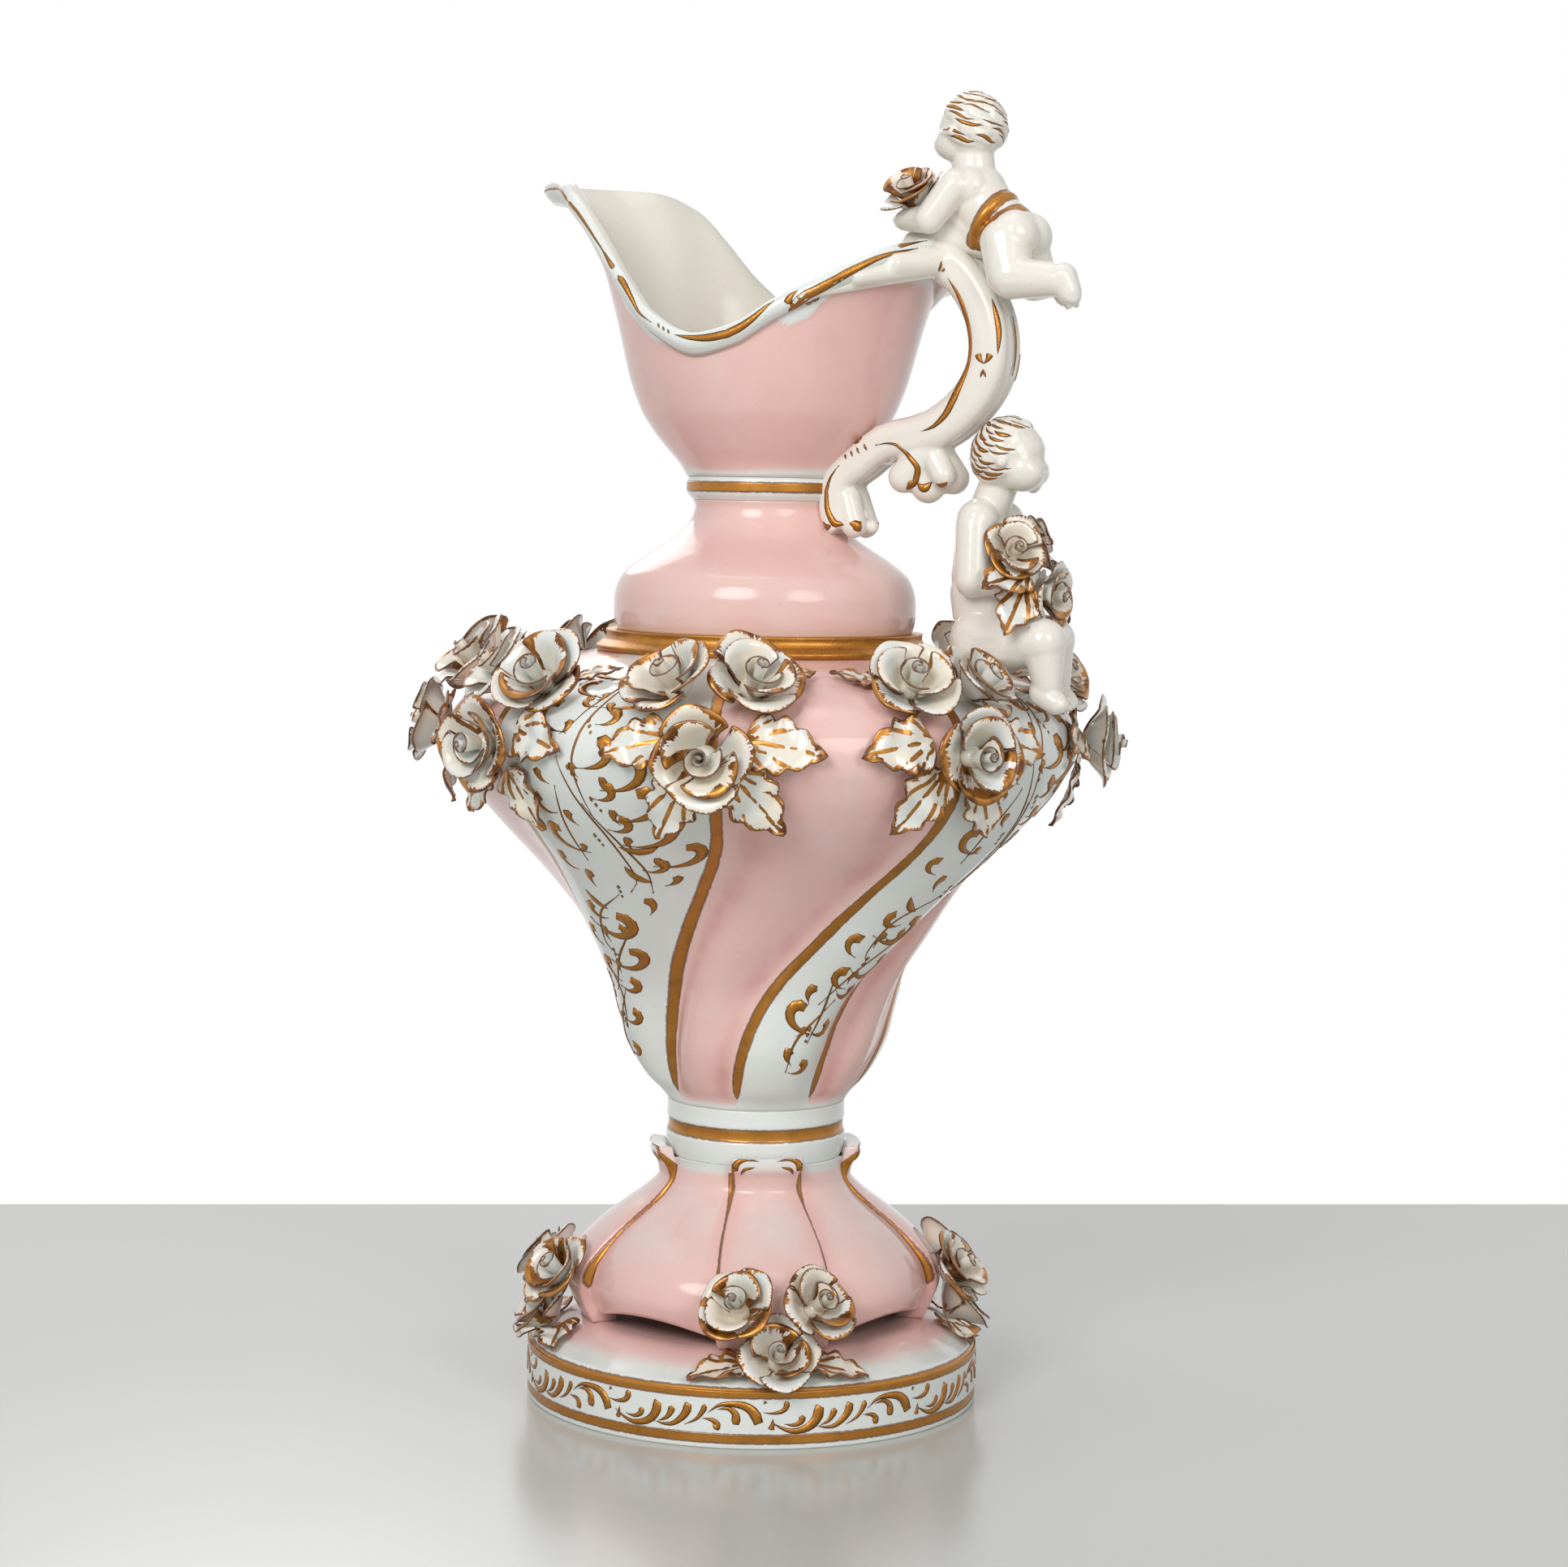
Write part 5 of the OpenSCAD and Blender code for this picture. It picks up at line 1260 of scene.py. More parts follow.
# Limbs that run from the band out into the rim: degrees aside, way down, share of the thickness, way in
RIM_LIMBS = [(10, 6, 0.85, 1.5), (20, 5.5, 0.7, 1.8), (32, 5, 0.5, 2.6), (44, 4, 0.3, 3.4)]
# Gilt strokes: path of (reach, height), width, form, place across, sides
BOTH, NEAR, FAR = (-1, 1), (-1,), (1,)
HANDLE_STROKES = [
    # Long crescent inside the loop
    ([(0.766, 0.842), (0.801, 0.786), (0.83, 0.708), (0.843, 0.62), (0.843, 0.537), (0.832, 0.45),
      (0.812, 0.375), (0.784, 0.305), (0.75, 0.255), (0.712, 0.22), (0.672, 0.205)],
     4.4, full_middle, 9.5, BOTH),
    # Strokes outside it
    ([(0.931, 0.759), (0.945, 0.707), (0.956, 0.656), (0.961, 0.605), (0.957, 0.523)], 2.6, full_middle, 9.5,
     NEAR),
    ([(0.963, 0.69), (0.97, 0.6), (0.969, 0.52), (0.962, 0.44)], 1.2, full_middle, 4, FAR),
    ([(0.975, 0.53), (0.968, 0.47), (0.955, 0.42)], 2.0, full_middle, 7.5, FAR),
    # Hook on the scroll, then caps on its knobs
    ([(0.612, -0.05), (0.642, -0.017), (0.652, 0.018), (0.647, 0.061), (0.616, 0.104), (0.581, 0.142),
      (0.536, 0.152), (0.49, 0.144)], 3.6, fat_head, 9, BOTH),
    ([(0.6, -0.02), (0.628, 0.002)], 3.6, full_middle, 7.5, BOTH),
    ([(0.648, -0.015), (0.672, -0.036), (0.7, -0.012)], 3.6, full_middle, 7.5, BOTH),
    ([(0.722, -0.012), (0.742, -0.034), (0.764, -0.008)], 3.6, full_middle, 7.5, BOTH),
    # Curled lower end
    ([(0.365, -0.202), (0.335, -0.192), (0.313, -0.158), (0.3, -0.115), (0.298, -0.06), (0.313, 0.0),
      (0.345, 0.058)], 3.6, fat_head, 13, BOTH),
    ([(0.284, -0.182), (0.299, -0.205), (0.32, -0.2)], 3.0, full_middle, 9, BOTH),
    ([(0.388, -0.19), (0.414, -0.203), (0.44, -0.208)], 5.0, full_middle, 8, BOTH),
    ([(0.383, 0.168), (0.397, 0.186), (0.414, 0.2)], 4.0, full_middle, 11, BOTH)]
# The heart on the loop with two dashes under it, three dashes by the rim and four by the lower end
HANDLE_STROKES += [([(x, 0.526), (x + 0.3 * (0.911 - x), 0.505), (0.911, 0.484)], 3.6, fat_head, 11, BOTH)
                   for x in (0.888, 0.934)]
HANDLE_STROKES += [([(0.909, 0.462), (x, 0.428)], 1.1, full_middle, 11, BOTH) for x in (0.899, 0.92)]
HANDLE_STROKES += [([(x + 0.003, z + 0.007), (x - 0.004, z - 0.008)], 1.3, full_middle, 11, BOTH)
                   for x, z in ((0.682, 0.915), (0.713, 0.901), (0.746, 0.876))]
HANDLE_STROKES += [([(x - 0.006, z + 0.014), (x + 0.007, z - 0.014)], 1.1, full_middle, 11, BOTH)
                   for x, z in ((0.368, 0.095), (0.394, 0.107), (0.42, 0.12), (0.45, 0.134))]


def band_point(x, z):
    """A point in the band's middle plane, by its shares of the handle's reach and the mouth's height"""
    return Vector((HANDLE_REACH * x, 0, Z_MOUTH + BACK_H * z))


def branch_point(out, up):
    """A point beside the neck, by its way outward from the funnel's face and its share of the height"""
    z = Z_MOUTH + BACK_H * up
    return Vector((funnel_r(max(z, Z_MOUTH)) + 0.3 + BAND_T * out, 0, z))


def handle_line(count):
    """Centre points of the band from the rim round to its curled tip, with the share of the thickness"""
    pts = [band_point(x, z) for x, z, _ in BAND] + [branch_point(o, u) for o, u, _ in BRANCH]
    thick = along([p[2] for p in BAND + BRANCH])
    fine = smooth_path(pts, count)
    total = len(pts) - 1
    spans = [0.0]
    for a, b in zip(pts, pts[1:]):
        spans.append(spans[-1] + (b - a).length)
    out = []
    for k, p in enumerate(fine):
        here = spans[-1] * k / count
        i = max(n for n in range(total) if spans[n] <= here or n == 0)
        out.append((p, thick(i + (here - spans[i]) / (spans[i + 1] - spans[i]))))
    return out


class JUG_OT_handle(bpy.types.Operator):
    """White scroll handle with grooves, knobs, curled ends and gilt strokes"""
    bl_idname = "jug.handle"
    bl_label = "Handle"

    def execute(self, context):
        count, n = 150, len(BAND_SECTION)
        line = handle_line(count)
        frames = []
        for k, (p, t) in enumerate(line):
            d = (line[min(count, k + 1)][0] - line[max(0, k - 1)][0]).normalized()
            frames.append((p, Vector((-d.z, 0, d.x)), t))

        def place(i, j):
            """The band's skin, closed at both ends by a point on its centre line"""
            if j in (0, count + 2):
                return (frames[min(j, count)][0],)
            p, outward, t = frames[j - 1]
            out, across = BAND_SECTION[i]
            aside = Vector((0, BAND_W / 2 * across * mix(0.8, 1, t), 0))
            return (p + outward * BAND_T / 2 * t * out + aside,)
        bm = place_tube(spun_tube(count + 3, n), n, place)
        r, w = BAND_T / 2, BAND_W / 2
        for x, z, across, share in KNOBS:
            limb(bm, band_point(x, z) + Vector((0, w * across, 0)),
                 band_point(0.67, 0.14) + Vector((0, w * across * 0.7, 0)), r * share, r * 0.8)
        for across in (-0.5, 0.5):
            side = Vector((0, w * across, 0))
            for ends in CURLED:
                a, b = [branch_point(out, up) + side * aside for out, up, aside, _ in ends]
                limb(bm, a, b, r * ends[0][3], r * ends[1][3])
            for turn, low, thick, sunk in RIM_LIMBS:
                turn *= 2 * across
                limb(bm, band_point(0.735, 0.915) + side * 0.8,
                     polar(rim_r(turn) - sunk, turn, rim_z(turn) - low), r * 0.8, r * thick)
        limb(bm, branch_point(0.95, 0.06), branch_point(1.0, 0.1), r * 0.4, r * 0.5)
        ball(bm, branch_point(1.1, -0.205), r * 0.42)
        bmesh.ops.recalc_face_normals(bm, faces=bm.faces)
        bm = remeshed(bm, HANDLE_VOXEL, 3)
        mark_crease_grime_and_shade(bm, rounds=14, depth=1.3)
        skin = skin_of(bm)
        keep(bm, "handle_glazed", [glazed("handle glaze", glazes().cherub)], ["handle"])

        gilt = bmesh.new()
        for points, width, form, across, sides in HANDLE_STROKES:
            for side in sides:
                path = [band_point(x, z) + Vector((0, side * across, 0)) for x, z in points]
                gild(gilt, skin, path, width, form, 24 if len(points) > 6 else 12)
        keep_gilding(gilt, "handle_gilding")
        return {"FINISHED"}


# Roses and leaves

def standing(angle, r, z, lean, yaw=0, roll=0, across=0):
    """Places a flower on the jug: its axis leans up from outward, then it turns sideways"""
    c, s = math.cos(math.radians(lean)), math.sin(math.radians(lean))
    tilt = Matrix(((0, -s, c, r), (1, 0, 0, 0), (0, c, s, z), (0, 0, 0, 1)))
    return Matrix.Translation((0, across, 0)) @ Matrix.Rotation(math.radians(angle), 4, "Z") @ tilt \
        @ Matrix.Rotation(math.radians(yaw), 4, "Y") @ Matrix.Rotation(math.radians(roll), 4, "Z")


# A petal from its base to its edge, in flower widths: the way outward and up, of inner and outer petals
INNER_OUT = curve([(0, 0.1), (0.25, 0.2), (0.5, 0.29), (0.75, 0.36), (0.9, 0.41), (1, 0.445)])
INNER_UP = curve([(0, -0.04), (0.25, 0.06), (0.5, 0.19), (0.75, 0.29), (0.9, 0.32), (1, 0.3)])
OUTER_OUT = curve([(0, 0.1), (0.3, 0.26), (0.6, 0.4), (0.8, 0.49), (0.92, 0.535), (1, 0.545)])
OUTER_UP = curve([(0, -0.1), (0.3, 0.0), (0.6, 0.12), (0.8, 0.175), (0.92, 0.165), (1, 0.125)])


def clay_layers(bm):
    """What the flower glaze reads: reach from the base, place across it, way in from the edge, how far the
    gold is brushed in, dirt with painted shade, and veins"""
    names = ("along", "beside", "edge", "brush", "dirt", "veins")
    return [bm.verts.layers.float.new(name) for name in names]


def petal(bm, layers, d, middle, span, out, up, rng, lift, corner):
    """One broad petal, cornered in the middle and curled at the edge, gilt where the brush went along it"""
    reach, beside, to_edge, brushed, dirt, _ = layers
    wave = sizes().petal_wave / MM * d / 33
    phase, gilt = rng.uniform(0, 9), rng.choice((1, 2.1, 3.1, 4.3))
    tip, lean = rng.uniform(0.94, 1.04), rng.uniform(-0.2, 0.2)
    for v in bmesh.ops.create_grid(bm, x_segments=12, y_segments=8, size=1)["verts"]:
        u, t = v.co.x, (v.co.y + 1) / 2
        peak = max(0.0, 1 - abs(u - lean) * 1.2)
        short = t * (1 - 0.17 * abs(u) ** 3)
        r = d * out(short) * mix(1, tip, t) * (1 + corner * t ** 3 * peak ** 1.4 + 0.045 * u * t)
        z = d * (up(short) + lift * t + 0.05 * t ** 2 * peak)
        z += wave * t * t * noise.noise((u * 1.4 + phase, t, 0.3))
        a = math.radians(middle + u * span / 2 * mix(0.72, 1, t))
        side = (1 - abs(u)) * math.radians(span / 2) * r
        v.co = Vector((r * math.cos(a), r * math.sin(a), z))
        v[reach], v[beside] = 0.62 * d * short, math.radians(u * span / 2) * r
        v[to_edge] = min((1 - t) * d * 0.55, side * 1.25)
        v[brushed] = gilt * (0.8 + 1.8 * noise.noise((u * 1.7 + phase, 2.1, t)))
        # Painted shade, darker towards the petal's base
        v[dirt] = 0.55 * (1 - t) ** 1.6


def bud(bm, layers, d, turns, start):
    """The rolled bud of a rose: a strip of clay wound up and flared at its end"""
    reach, beside, to_edge, brushed, dirt, _ = layers
    for v in bmesh.ops.create_grid(bm, x_segments=48, y_segments=6, size=1)["verts"]:
        u, t = (v.co.x + 1) / 2, (v.co.y + 1) / 2
        a = math.radians(start) + u * turns * TURN
        top = d * (0.47 - 0.05 * u - 0.12 * u * u)
        wide, foot = 0.02 + 0.12 * u + 0.15 * u ** 3, 0.015 + 0.075 * u
        r = d * mix(foot, wide, t ** 1.6)
        v.co = Vector((r * math.cos(a) + d * 0.012, r * math.sin(a), mix(-0.02 * d, top, t)))
        v[reach], v[beside] = t * top, a * d * 0.16
        v[to_edge] = min((1 - t) * top, (1 - u) * turns * TURN * max(r, 0.5))
        v[brushed] = 0.25 + 1.6 * max(0, u - 0.72) * (1 + noise.noise((a, 0.2, 1.1)))
        # Painted shade, darker low in the bud and in its inner turns
        v[dirt] = 0.75 * (1 - t) ** 1.3 + 0.22 * (1 - u)


def rose(bm, d, form, rng):
    """A clay rose: a rolled bud that flares, two standing petals and four that open"""
    flower = bmesh.new()
    layers = clay_layers(flower)
    _, _, to_edge, _, dirt, _ = layers
    turns, start = rng.uniform(1.9, 2.3), rng.uniform(0, 360)
    bud(flower, layers, d, turns, start)
    first = start + 300
    for k in range(2):
        petal(flower, layers, d, first + 165 * k + rng.uniform(-15, 15), rng.uniform(138, 165), INNER_OUT,
              INNER_UP, rng, rng.uniform(-0.05, 0.04), 0.1)
    for k in range(4):
        petal(flower, layers, d, first + 60 + 90 * k + rng.uniform(-10, 10), rng.uniform(100, 122),
              OUTER_OUT, OUTER_UP, rng, (0.07 if k % 2 else -0.02) + rng.uniform(-0.04, 0.05),
              rng.uniform(0.1, 0.2))
    for v in ball(flower, (0, 0, -0.02 * d), 0.13 * d):
        # The rose's middle is painted in shade
        v[to_edge], v[dirt] = FAR_INSIDE, 0.6
    bmesh.ops.transform(flower, matrix=form, verts=flower.verts)
    join(bm, flower)


# Half width of a leaf with three lobes a side, by its length
LEAF_WIDTH = curve([(0, 0), (0.05, 0.12), (0.12, 0.25), (0.2, 0.35), (0.27, 0.38), (0.33, 0.36), (0.37, 0.3),
                    (0.42, 0.33), (0.5, 0.38), (0.57, 0.35), (0.61, 0.26), (0.66, 0.27), (0.73, 0.27),
                    (0.8, 0.2), (0.84, 0.12), (0.9, 0.11), (0.96, 0.06), (1, 0)])
LEAF_WIDEST = 0.38


def leaf(bm, long, bend, form, rng, cup=0.06):
    """A leaf of three lobes a side that bends over the surface below, with ribs and a ragged gilt edge"""
    blade = bmesh.new()
    layers = clay_layers(blade)
    reach, beside, to_edge, brushed, dirt, veins = layers
    phase, gilt = rng.uniform(0, 9), rng.uniform(1.6, 2.6)
    deep = sizes().rib_depth / MM
    for v in bmesh.ops.create_grid(blade, x_segments=36, y_segments=12, size=1)["verts"]:
        t, s = (v.co.x + 1) / 2, v.co.y
        half = long * LEAF_WIDTH(t) * (1 + 0.05 * noise.noise((t * 9 + phase, s, 0)))
        x, y = long * t - long * 0.06 * abs(s) * half / (LEAF_WIDEST * long), half * s
        ribs = math.cos(8.5 * math.atan2(abs(y), x + 0.06 * long))
        z = long * (cup * abs(s) * LEAF_WIDTH(t) / LEAF_WIDEST + 0.035 * s * math.sin(5.5 * TURN * t / 2))
        z -= deep * max(0, ribs) * math.sin(math.pi * min(1, t * 1.4)) + (x * x + y * y) / (2 * bend) - 0.5
        v[reach], v[beside], v[veins] = x, y, 1
        v[to_edge] = min(half * (1 - abs(s)), (1 - t) * long * 0.6) if t > 0.03 else 3
        v[brushed] = gilt * (0.9 + 1.0 * noise.noise((math.atan2(y, x) * 5 + phase, t * 4, 0.5)))
        # Painted shade in the rib grooves, less towards the tip
        v[dirt] = 0.3 * max(0, ribs) * (1 - t)
        v.co = Vector((x, y, z))
    bmesh.ops.remove_doubles(blade, verts=blade.verts, dist=0.02)
    bmesh.ops.transform(blade, matrix=form, verts=blade.verts)
    join(bm, blade)


def clay_glaze():
    """Ivory glaze of flowers and leaves: gold feathered in from a brown edge and dashed along the veins"""
    made, tree, skin = material("flower glaze")
    if not tree:
        return made
    g = glazes()
    x, y, edge = marked(tree, "along"), marked(tree, "beside"), marked(tree, "edge")
    fan = maths(tree, "ARCTAN2", y, maths(tree, "ADD", x, 1.6))
    away = maths(tree, "ADD", maths(tree, "MULTIPLY", x, x), maths(tree, "MULTIPLY", y, y))
    away = maths(tree, "POWER", away, 0.5)
    # Feathered edge: noise drawn out along the way that the petal grew
    hair = node(tree, "CombineXYZ", {0: maths(tree, "MULTIPLY", fan, 22.0),
                                     1: maths(tree, "MULTIPLY", away, 0.16),
                                     2: maths(tree, "MULTIPLY", grain(tree, 30, 0), 9.0)})
    feather = node(tree, "TexNoise", {"Vector": hair.outputs[0], "Scale": 1.0, "Detail": 2.0}).outputs[0]
    patch = grain(tree, 150, 2)
    band = maths(tree, "SUBTRACT", marked(tree, "brush"), edge)
    band = maths(tree, "ADD", band, level(tree, feather, 0.3, 0.7, -0.9, 0.9))
    # Dashes of gold along the veins of a leaf
    step = maths(tree, "FRACT", maths(tree, "ADD", maths(tree, "MULTIPLY", fan, 2.7), 0.5), 0)
    off = maths(tree, "ABSOLUTE", maths(tree, "SUBTRACT", step, 0.5), 0)
    off = maths(tree, "MULTIPLY", maths(tree, "MULTIPLY", off, 0.37), away)
    vein = maths(tree, "SUBTRACT", level(tree, patch, 0.36, 0.5, -0.3, 1.0), off)
    vein = maths(tree, "SUBTRACT", vein, level(tree, marked(tree, "veins"), 0.0, 1.0, 5.0, 0.0))
    gold = level(tree, maths(tree, "MAXIMUM", band, vein), 0.0, 0.22)
    rim = level(tree, edge, 0.2, 0.55, 1.0, 0.0)
    leaf_gold = blend(tree, level(tree, patch, 0.35, 0.6), g.thin_gold, g.gold)
    body = blend(tree, level(tree, grain(tree, 60), 0.35, 0.6), g.white, g.flower)
    body = blend(tree, level(tree, band, -2.2, 0.0, 0.0, 0.35), body, g.blush)
    speck = level(tree, grain(tree, SPECK, 2), 0.25, 0.7, 0.7, 1.2)
    # Dirt and painted shade from the marks, broken up by specks
    dirt = maths(tree, "MULTIPLY", marked(tree, "dirt"), speck)
    body = blend(tree, level(tree, dirt, 0.05, 1.0, 0.0, 0.6), body, g.settled_and_shaded)
    body = blend(tree, gold, body, leaf_gold)
    body = blend(tree, maths(tree, "MULTIPLY", rim, 0.85), body, g.rim)
    feed(tree, skin.inputs["Base Color"], body)
    feed(tree, skin.inputs["Metallic"], maths(tree, "MULTIPLY", gold, maths(tree, "SUBTRACT", 0.75, rim)))
    feed(tree, skin.inputs["Roughness"], level(tree, gold, 0, 1, 0.2, 0.32))
    plain(skin, Coat_Weight=0.25, Coat_Roughness=0.08)
    relief(tree, skin, maths(tree, "ADD", patch, gold), 0.3, 0.0005)
    return made


def keep_clay(bm, solid, thin=1.0):
    """Gives rolled clay its thickness and rounded edge, in the place of a solid"""
    piece = keep(bm, solid + "_glazed", [clay_glaze()], [solid], faces_out=False)
    wall = piece.modifiers.new("clay", "SOLIDIFY")
    wall.thickness = sizes().petal_t * thin
    wall.offset = 0
    soft = piece.modifiers.new("edge", "SUBSURF")
    soft.levels = soft.render_levels = 1


def body_seat(angle, z, lift):
    """Radius and height of a point that stands off the body's slope, and the slope in degrees"""
    share = (z - Z_BODY) / BODY_H
    rise = body_slope(share, 0.011)
    k = math.hypot(1, rise)
    r = body_radius(angle - lobe_turn(share), share)
    return r + lift / k, z - lift * rise / k, math.degrees(math.atan(-rise))


ROSE_D, LEAF_L, FOOT_ROSE_D, FOOT_LEAF_L, HELD_ROSE_D = 34.5, 32, 29.5, 27, 27
# How far a rose's middle stands off, as a share of its width
ROSE_SEAT = 0.16
# Where the first cluster's middle is, and what each cluster is shifted by, in degrees
CLUSTER_START, CLUSTER_SHIFTS = 21, (2.4, 0, 0, 0, 0, 0, 0, -1)
# Roses of a cluster: degrees aside, height share, lean, yaw and turn
CLUSTER_ROSES = ((-7.6, 0.925, 44, -16, 20), (6.4, 0.93, 42, 16, 75), (-0.8, 0.815, 6, 0, 0))
# Leaves of a cluster: degrees aside, height share, heading, share of the length, tilt
CLUSTER_LEAVES = ((-6.6, 0.85, 194, 0.95, 6), (5.4, 0.85, -10, 1.05, 6), (3.2, 0.79, -50, 1.05, 5),
                  (-4.4, 0.775, -116, 0.95, 5), (11, 0.955, 30, 0.6, 8), (-11, 0.95, 150, 0.58, 8))
# Clusters beside the sitting cherub, which have one leaf fewer
BY_CHERUB = (0, 7)


class JUG_OT_shoulder_flowers(bpy.types.Operator):
    """Eight clusters of three roses and their leaves round the shoulder"""
    bl_idname = "jug.shoulder_flowers"
    bl_label = "Shoulder roses and leaves"

    def execute(self, context):
        for k, shift in enumerate(CLUSTER_SHIFTS):
            rng = random.Random(sizes().seed * 100 + k)
            middle, flip = CLUSTER_START + 45 * k + shift, 1 if k % 2 == 0 else -1
            roses, leaves = bmesh.new(), bmesh.new()
            for off, share, lean, yaw, turn in CLUSTER_ROSES:
                angle = middle + off * flip
                r, z, _ = body_seat(angle, Z_BODY + BODY_H * share, ROSE_D * ROSE_SEAT + 0.3)
                d = ROSE_D * rng.uniform(0.94, 1.06)
                form = standing(angle, r, z, lean + rng.uniform(-8, 8), yaw * flip + rng.uniform(-8, 8),
                                turn + 40 * k)
                rose(roses, d, form, rng)
            for off, share, heading, size, tilt in CLUSTER_LEAVES:
                if off < -10 and k in BY_CHERUB:
                    continue
                angle = middle + off * flip
                r, z, slope = body_seat(angle, Z_BODY + BODY_H * share, 0.9)
                heading = math.radians(heading if flip > 0 else 180 - heading)
                form = standing(angle, r, z, slope) @ Matrix.Rotation(heading, 4, "Z") \
                    @ Matrix.Rotation(math.radians(-tilt), 4, "Y")
                leaf(leaves, LEAF_L * size, BODY_R * 0.9, form, rng)
            keep_clay(roses, f"shoulder_roses_{k + 1}")
            keep_clay(leaves, f"shoulder_leaves_{k + 1}")
        return {"FINISHED"}


def plinth_z(r):
    """Height of the plinth's top at a radius"""
    return Z_FOOT - PLINTH_RISE + PLINTH_RISE * PLINTH_TOP(r / PLINTH_R)


# Radius of a leg's lower part by its height, as shares, and two roses on it: degrees aside, height, yaw
LEG_SEAT = curve([(0, 0.93), (0.1, 0.97), (0.22, 1), (0.34, 0.98), (0.45, 0.915)])
LEG_ROSES = ((-10.5, 0.27, -14), (10.5, 0.28, 14))


class JUG_OT_foot_flowers(bpy.types.Operator):
    """A cluster of three roses and two leaves in front of each leg"""
    bl_idname = "jug.foot_flowers"
    bl_label = "Foot roses and leaves"

    def execute(self, context):
        d = FOOT_ROSE_D
        for k in range(4):
            rng = random.Random(sizes().seed * 200 + k)
            middle = LEG_START + 90 * k
            roses, leaves = bmesh.new(), bmesh.new()
            for off, share, yaw in LEG_ROSES:
                form = standing(middle + off, FOOT_R * LEG_SEAT(share) + d * ROSE_SEAT + 0.3,
                                Z_FOOT + FOOT_H * share, 38, yaw, 30 * k + off)
                rose(roses, d, form, rng)
            low = PLINTH_R * 0.91
            rose(roses, d, standing(middle, low, plinth_z(low) + d * ROSE_SEAT + 0.9, 40, 0, 50 * k), rng)
            r = PLINTH_R * 0.87
            for side, heading in ((-1, 202), (1, -22)):
                form = standing(middle + side * 8, r, plinth_z(r) + 1.0, 72) \
                    @ Matrix.Rotation(math.radians(heading), 4, "Z")
                leaf(leaves, FOOT_LEAF_L, PLINTH_R * 3, form, rng, 0.1)
            keep_clay(roses, f"foot_roses_{k + 1}", 0.9)
            keep_clay(leaves, f"foot_leaves_{k + 1}", 0.9)
        return {"FINISHED"}


# Cherubs

def mirrored(parts):
    """The same limbs on both sides"""
    other = [tuple((p[0], -p[1], p[2]) if isinstance(p, tuple) else p for p in part) for part in parts]
    return parts + other


def foot_of(bm, heel, ball_of, down, side):
    """A small foot with five toes: heel, ball of the foot, way of the toes and side of the big toe"""
    heel, ball_of, down, side = Vector(heel), Vector(ball_of), Vector(down).normalized(), Vector(side)
    limb(bm, heel, ball_of, 4.3, 3.9)
    for k in range(5):
        across = side * (2.9 - 1.5 * k)
        tip = ball_of + across + down * (3.4 - 0.45 * k)
        limb(bm, ball_of + across * 0.9, tip, 1.5 - 0.1 * k, 1.45 - 0.14 * k)


def hand_of(bm, wrist, palm, way, side):
    """A small hand: palm, four fingers and a thumb"""
    wrist, palm, way, side = Vector(wrist), Vector(palm), Vector(way).normalized(), Vector(side)
    limb(bm, wrist, palm, 4.2, 3.9)
    for k in range(4):
        across = side * (2.5 - 1.65 * k)
        limb(bm, palm + across, palm + across + way * (5.6 - abs(k - 1.4)), 1.35, 1.05)
    limb(bm, palm + side * 2.4, palm + side * 4.6 + way * 2.6, 1.5, 1.2)


# Rings of winding locks and rows of falling ones (from, to, how many), in degrees from the crown
HAIR_RINGS = (14, 27, 40, 53, 66, 79, 92, 105, 117)
HAIR_ROWS = ((8, 34, 11), (30, 56, 19), (51, 76, 25), (72, 96, 28), (92, 116, 26))
ALONG_LOCK = (0, 0.33, 0.67, 1)


def locks_of_hair(crown, ahead, winding):
    """Lines of hair on a head of radius 1: they wind round the crown, or fall from it and curl forward"""
    first = (ahead - crown * ahead.dot(crown)).normalized()
    second = crown.cross(first)
    lines = []
    if winding:
        for ring, down in enumerate(HAIR_RINGS):
            count = max(3, round(TURN * math.sin(math.radians(down)) / 0.74))
            for k in range(count):
                lines.append([((k + 0.37 * ring + t * 1.05) * 360 / count,
                               down + 13 * (t - 0.5) + 2 * math.sin(5 * t + 2 * ring + k))
                              for t in ALONG_LOCK])
    else:
        for row, (low, high, count) in enumerate(HAIR_ROWS):
            for k in range(count):
                start = (k + 0.5 * (row % 2)) * 360 / count
                bend = (1 if start < 180 else -1) * -(8 + 5 * row)
                lines.append([(start + bend * t * t, mix(low, high, t)) for t in ALONG_LOCK])
    out = []
    for line in lines:
        path = []
        for turn, down in line:
            a, d = math.radians(turn), math.radians(down)
            path.append(crown * math.cos(d) + (first * math.cos(a) + second * math.sin(a)) * math.sin(d))
        if all(n.dot(ahead) < (0.5 if winding else 0.3 + 0.4 * max(0, n.z)) and n.z > -0.78 for n in path):
            out.append(path)
    return out


def push(bm, centre, radius, move, flat=None):
    """Presses or raises clay round a point"""
    centre, move = Vector(centre), Vector(move)
    for v in bm.verts:
        d = v.co - centre
        if flat is not None:
            d = d - flat * d.dot(flat) * 0.62
        w = d.length_squared / (2 * radius * radius)
        if w < 6:
            v.co += move * math.exp(-w)


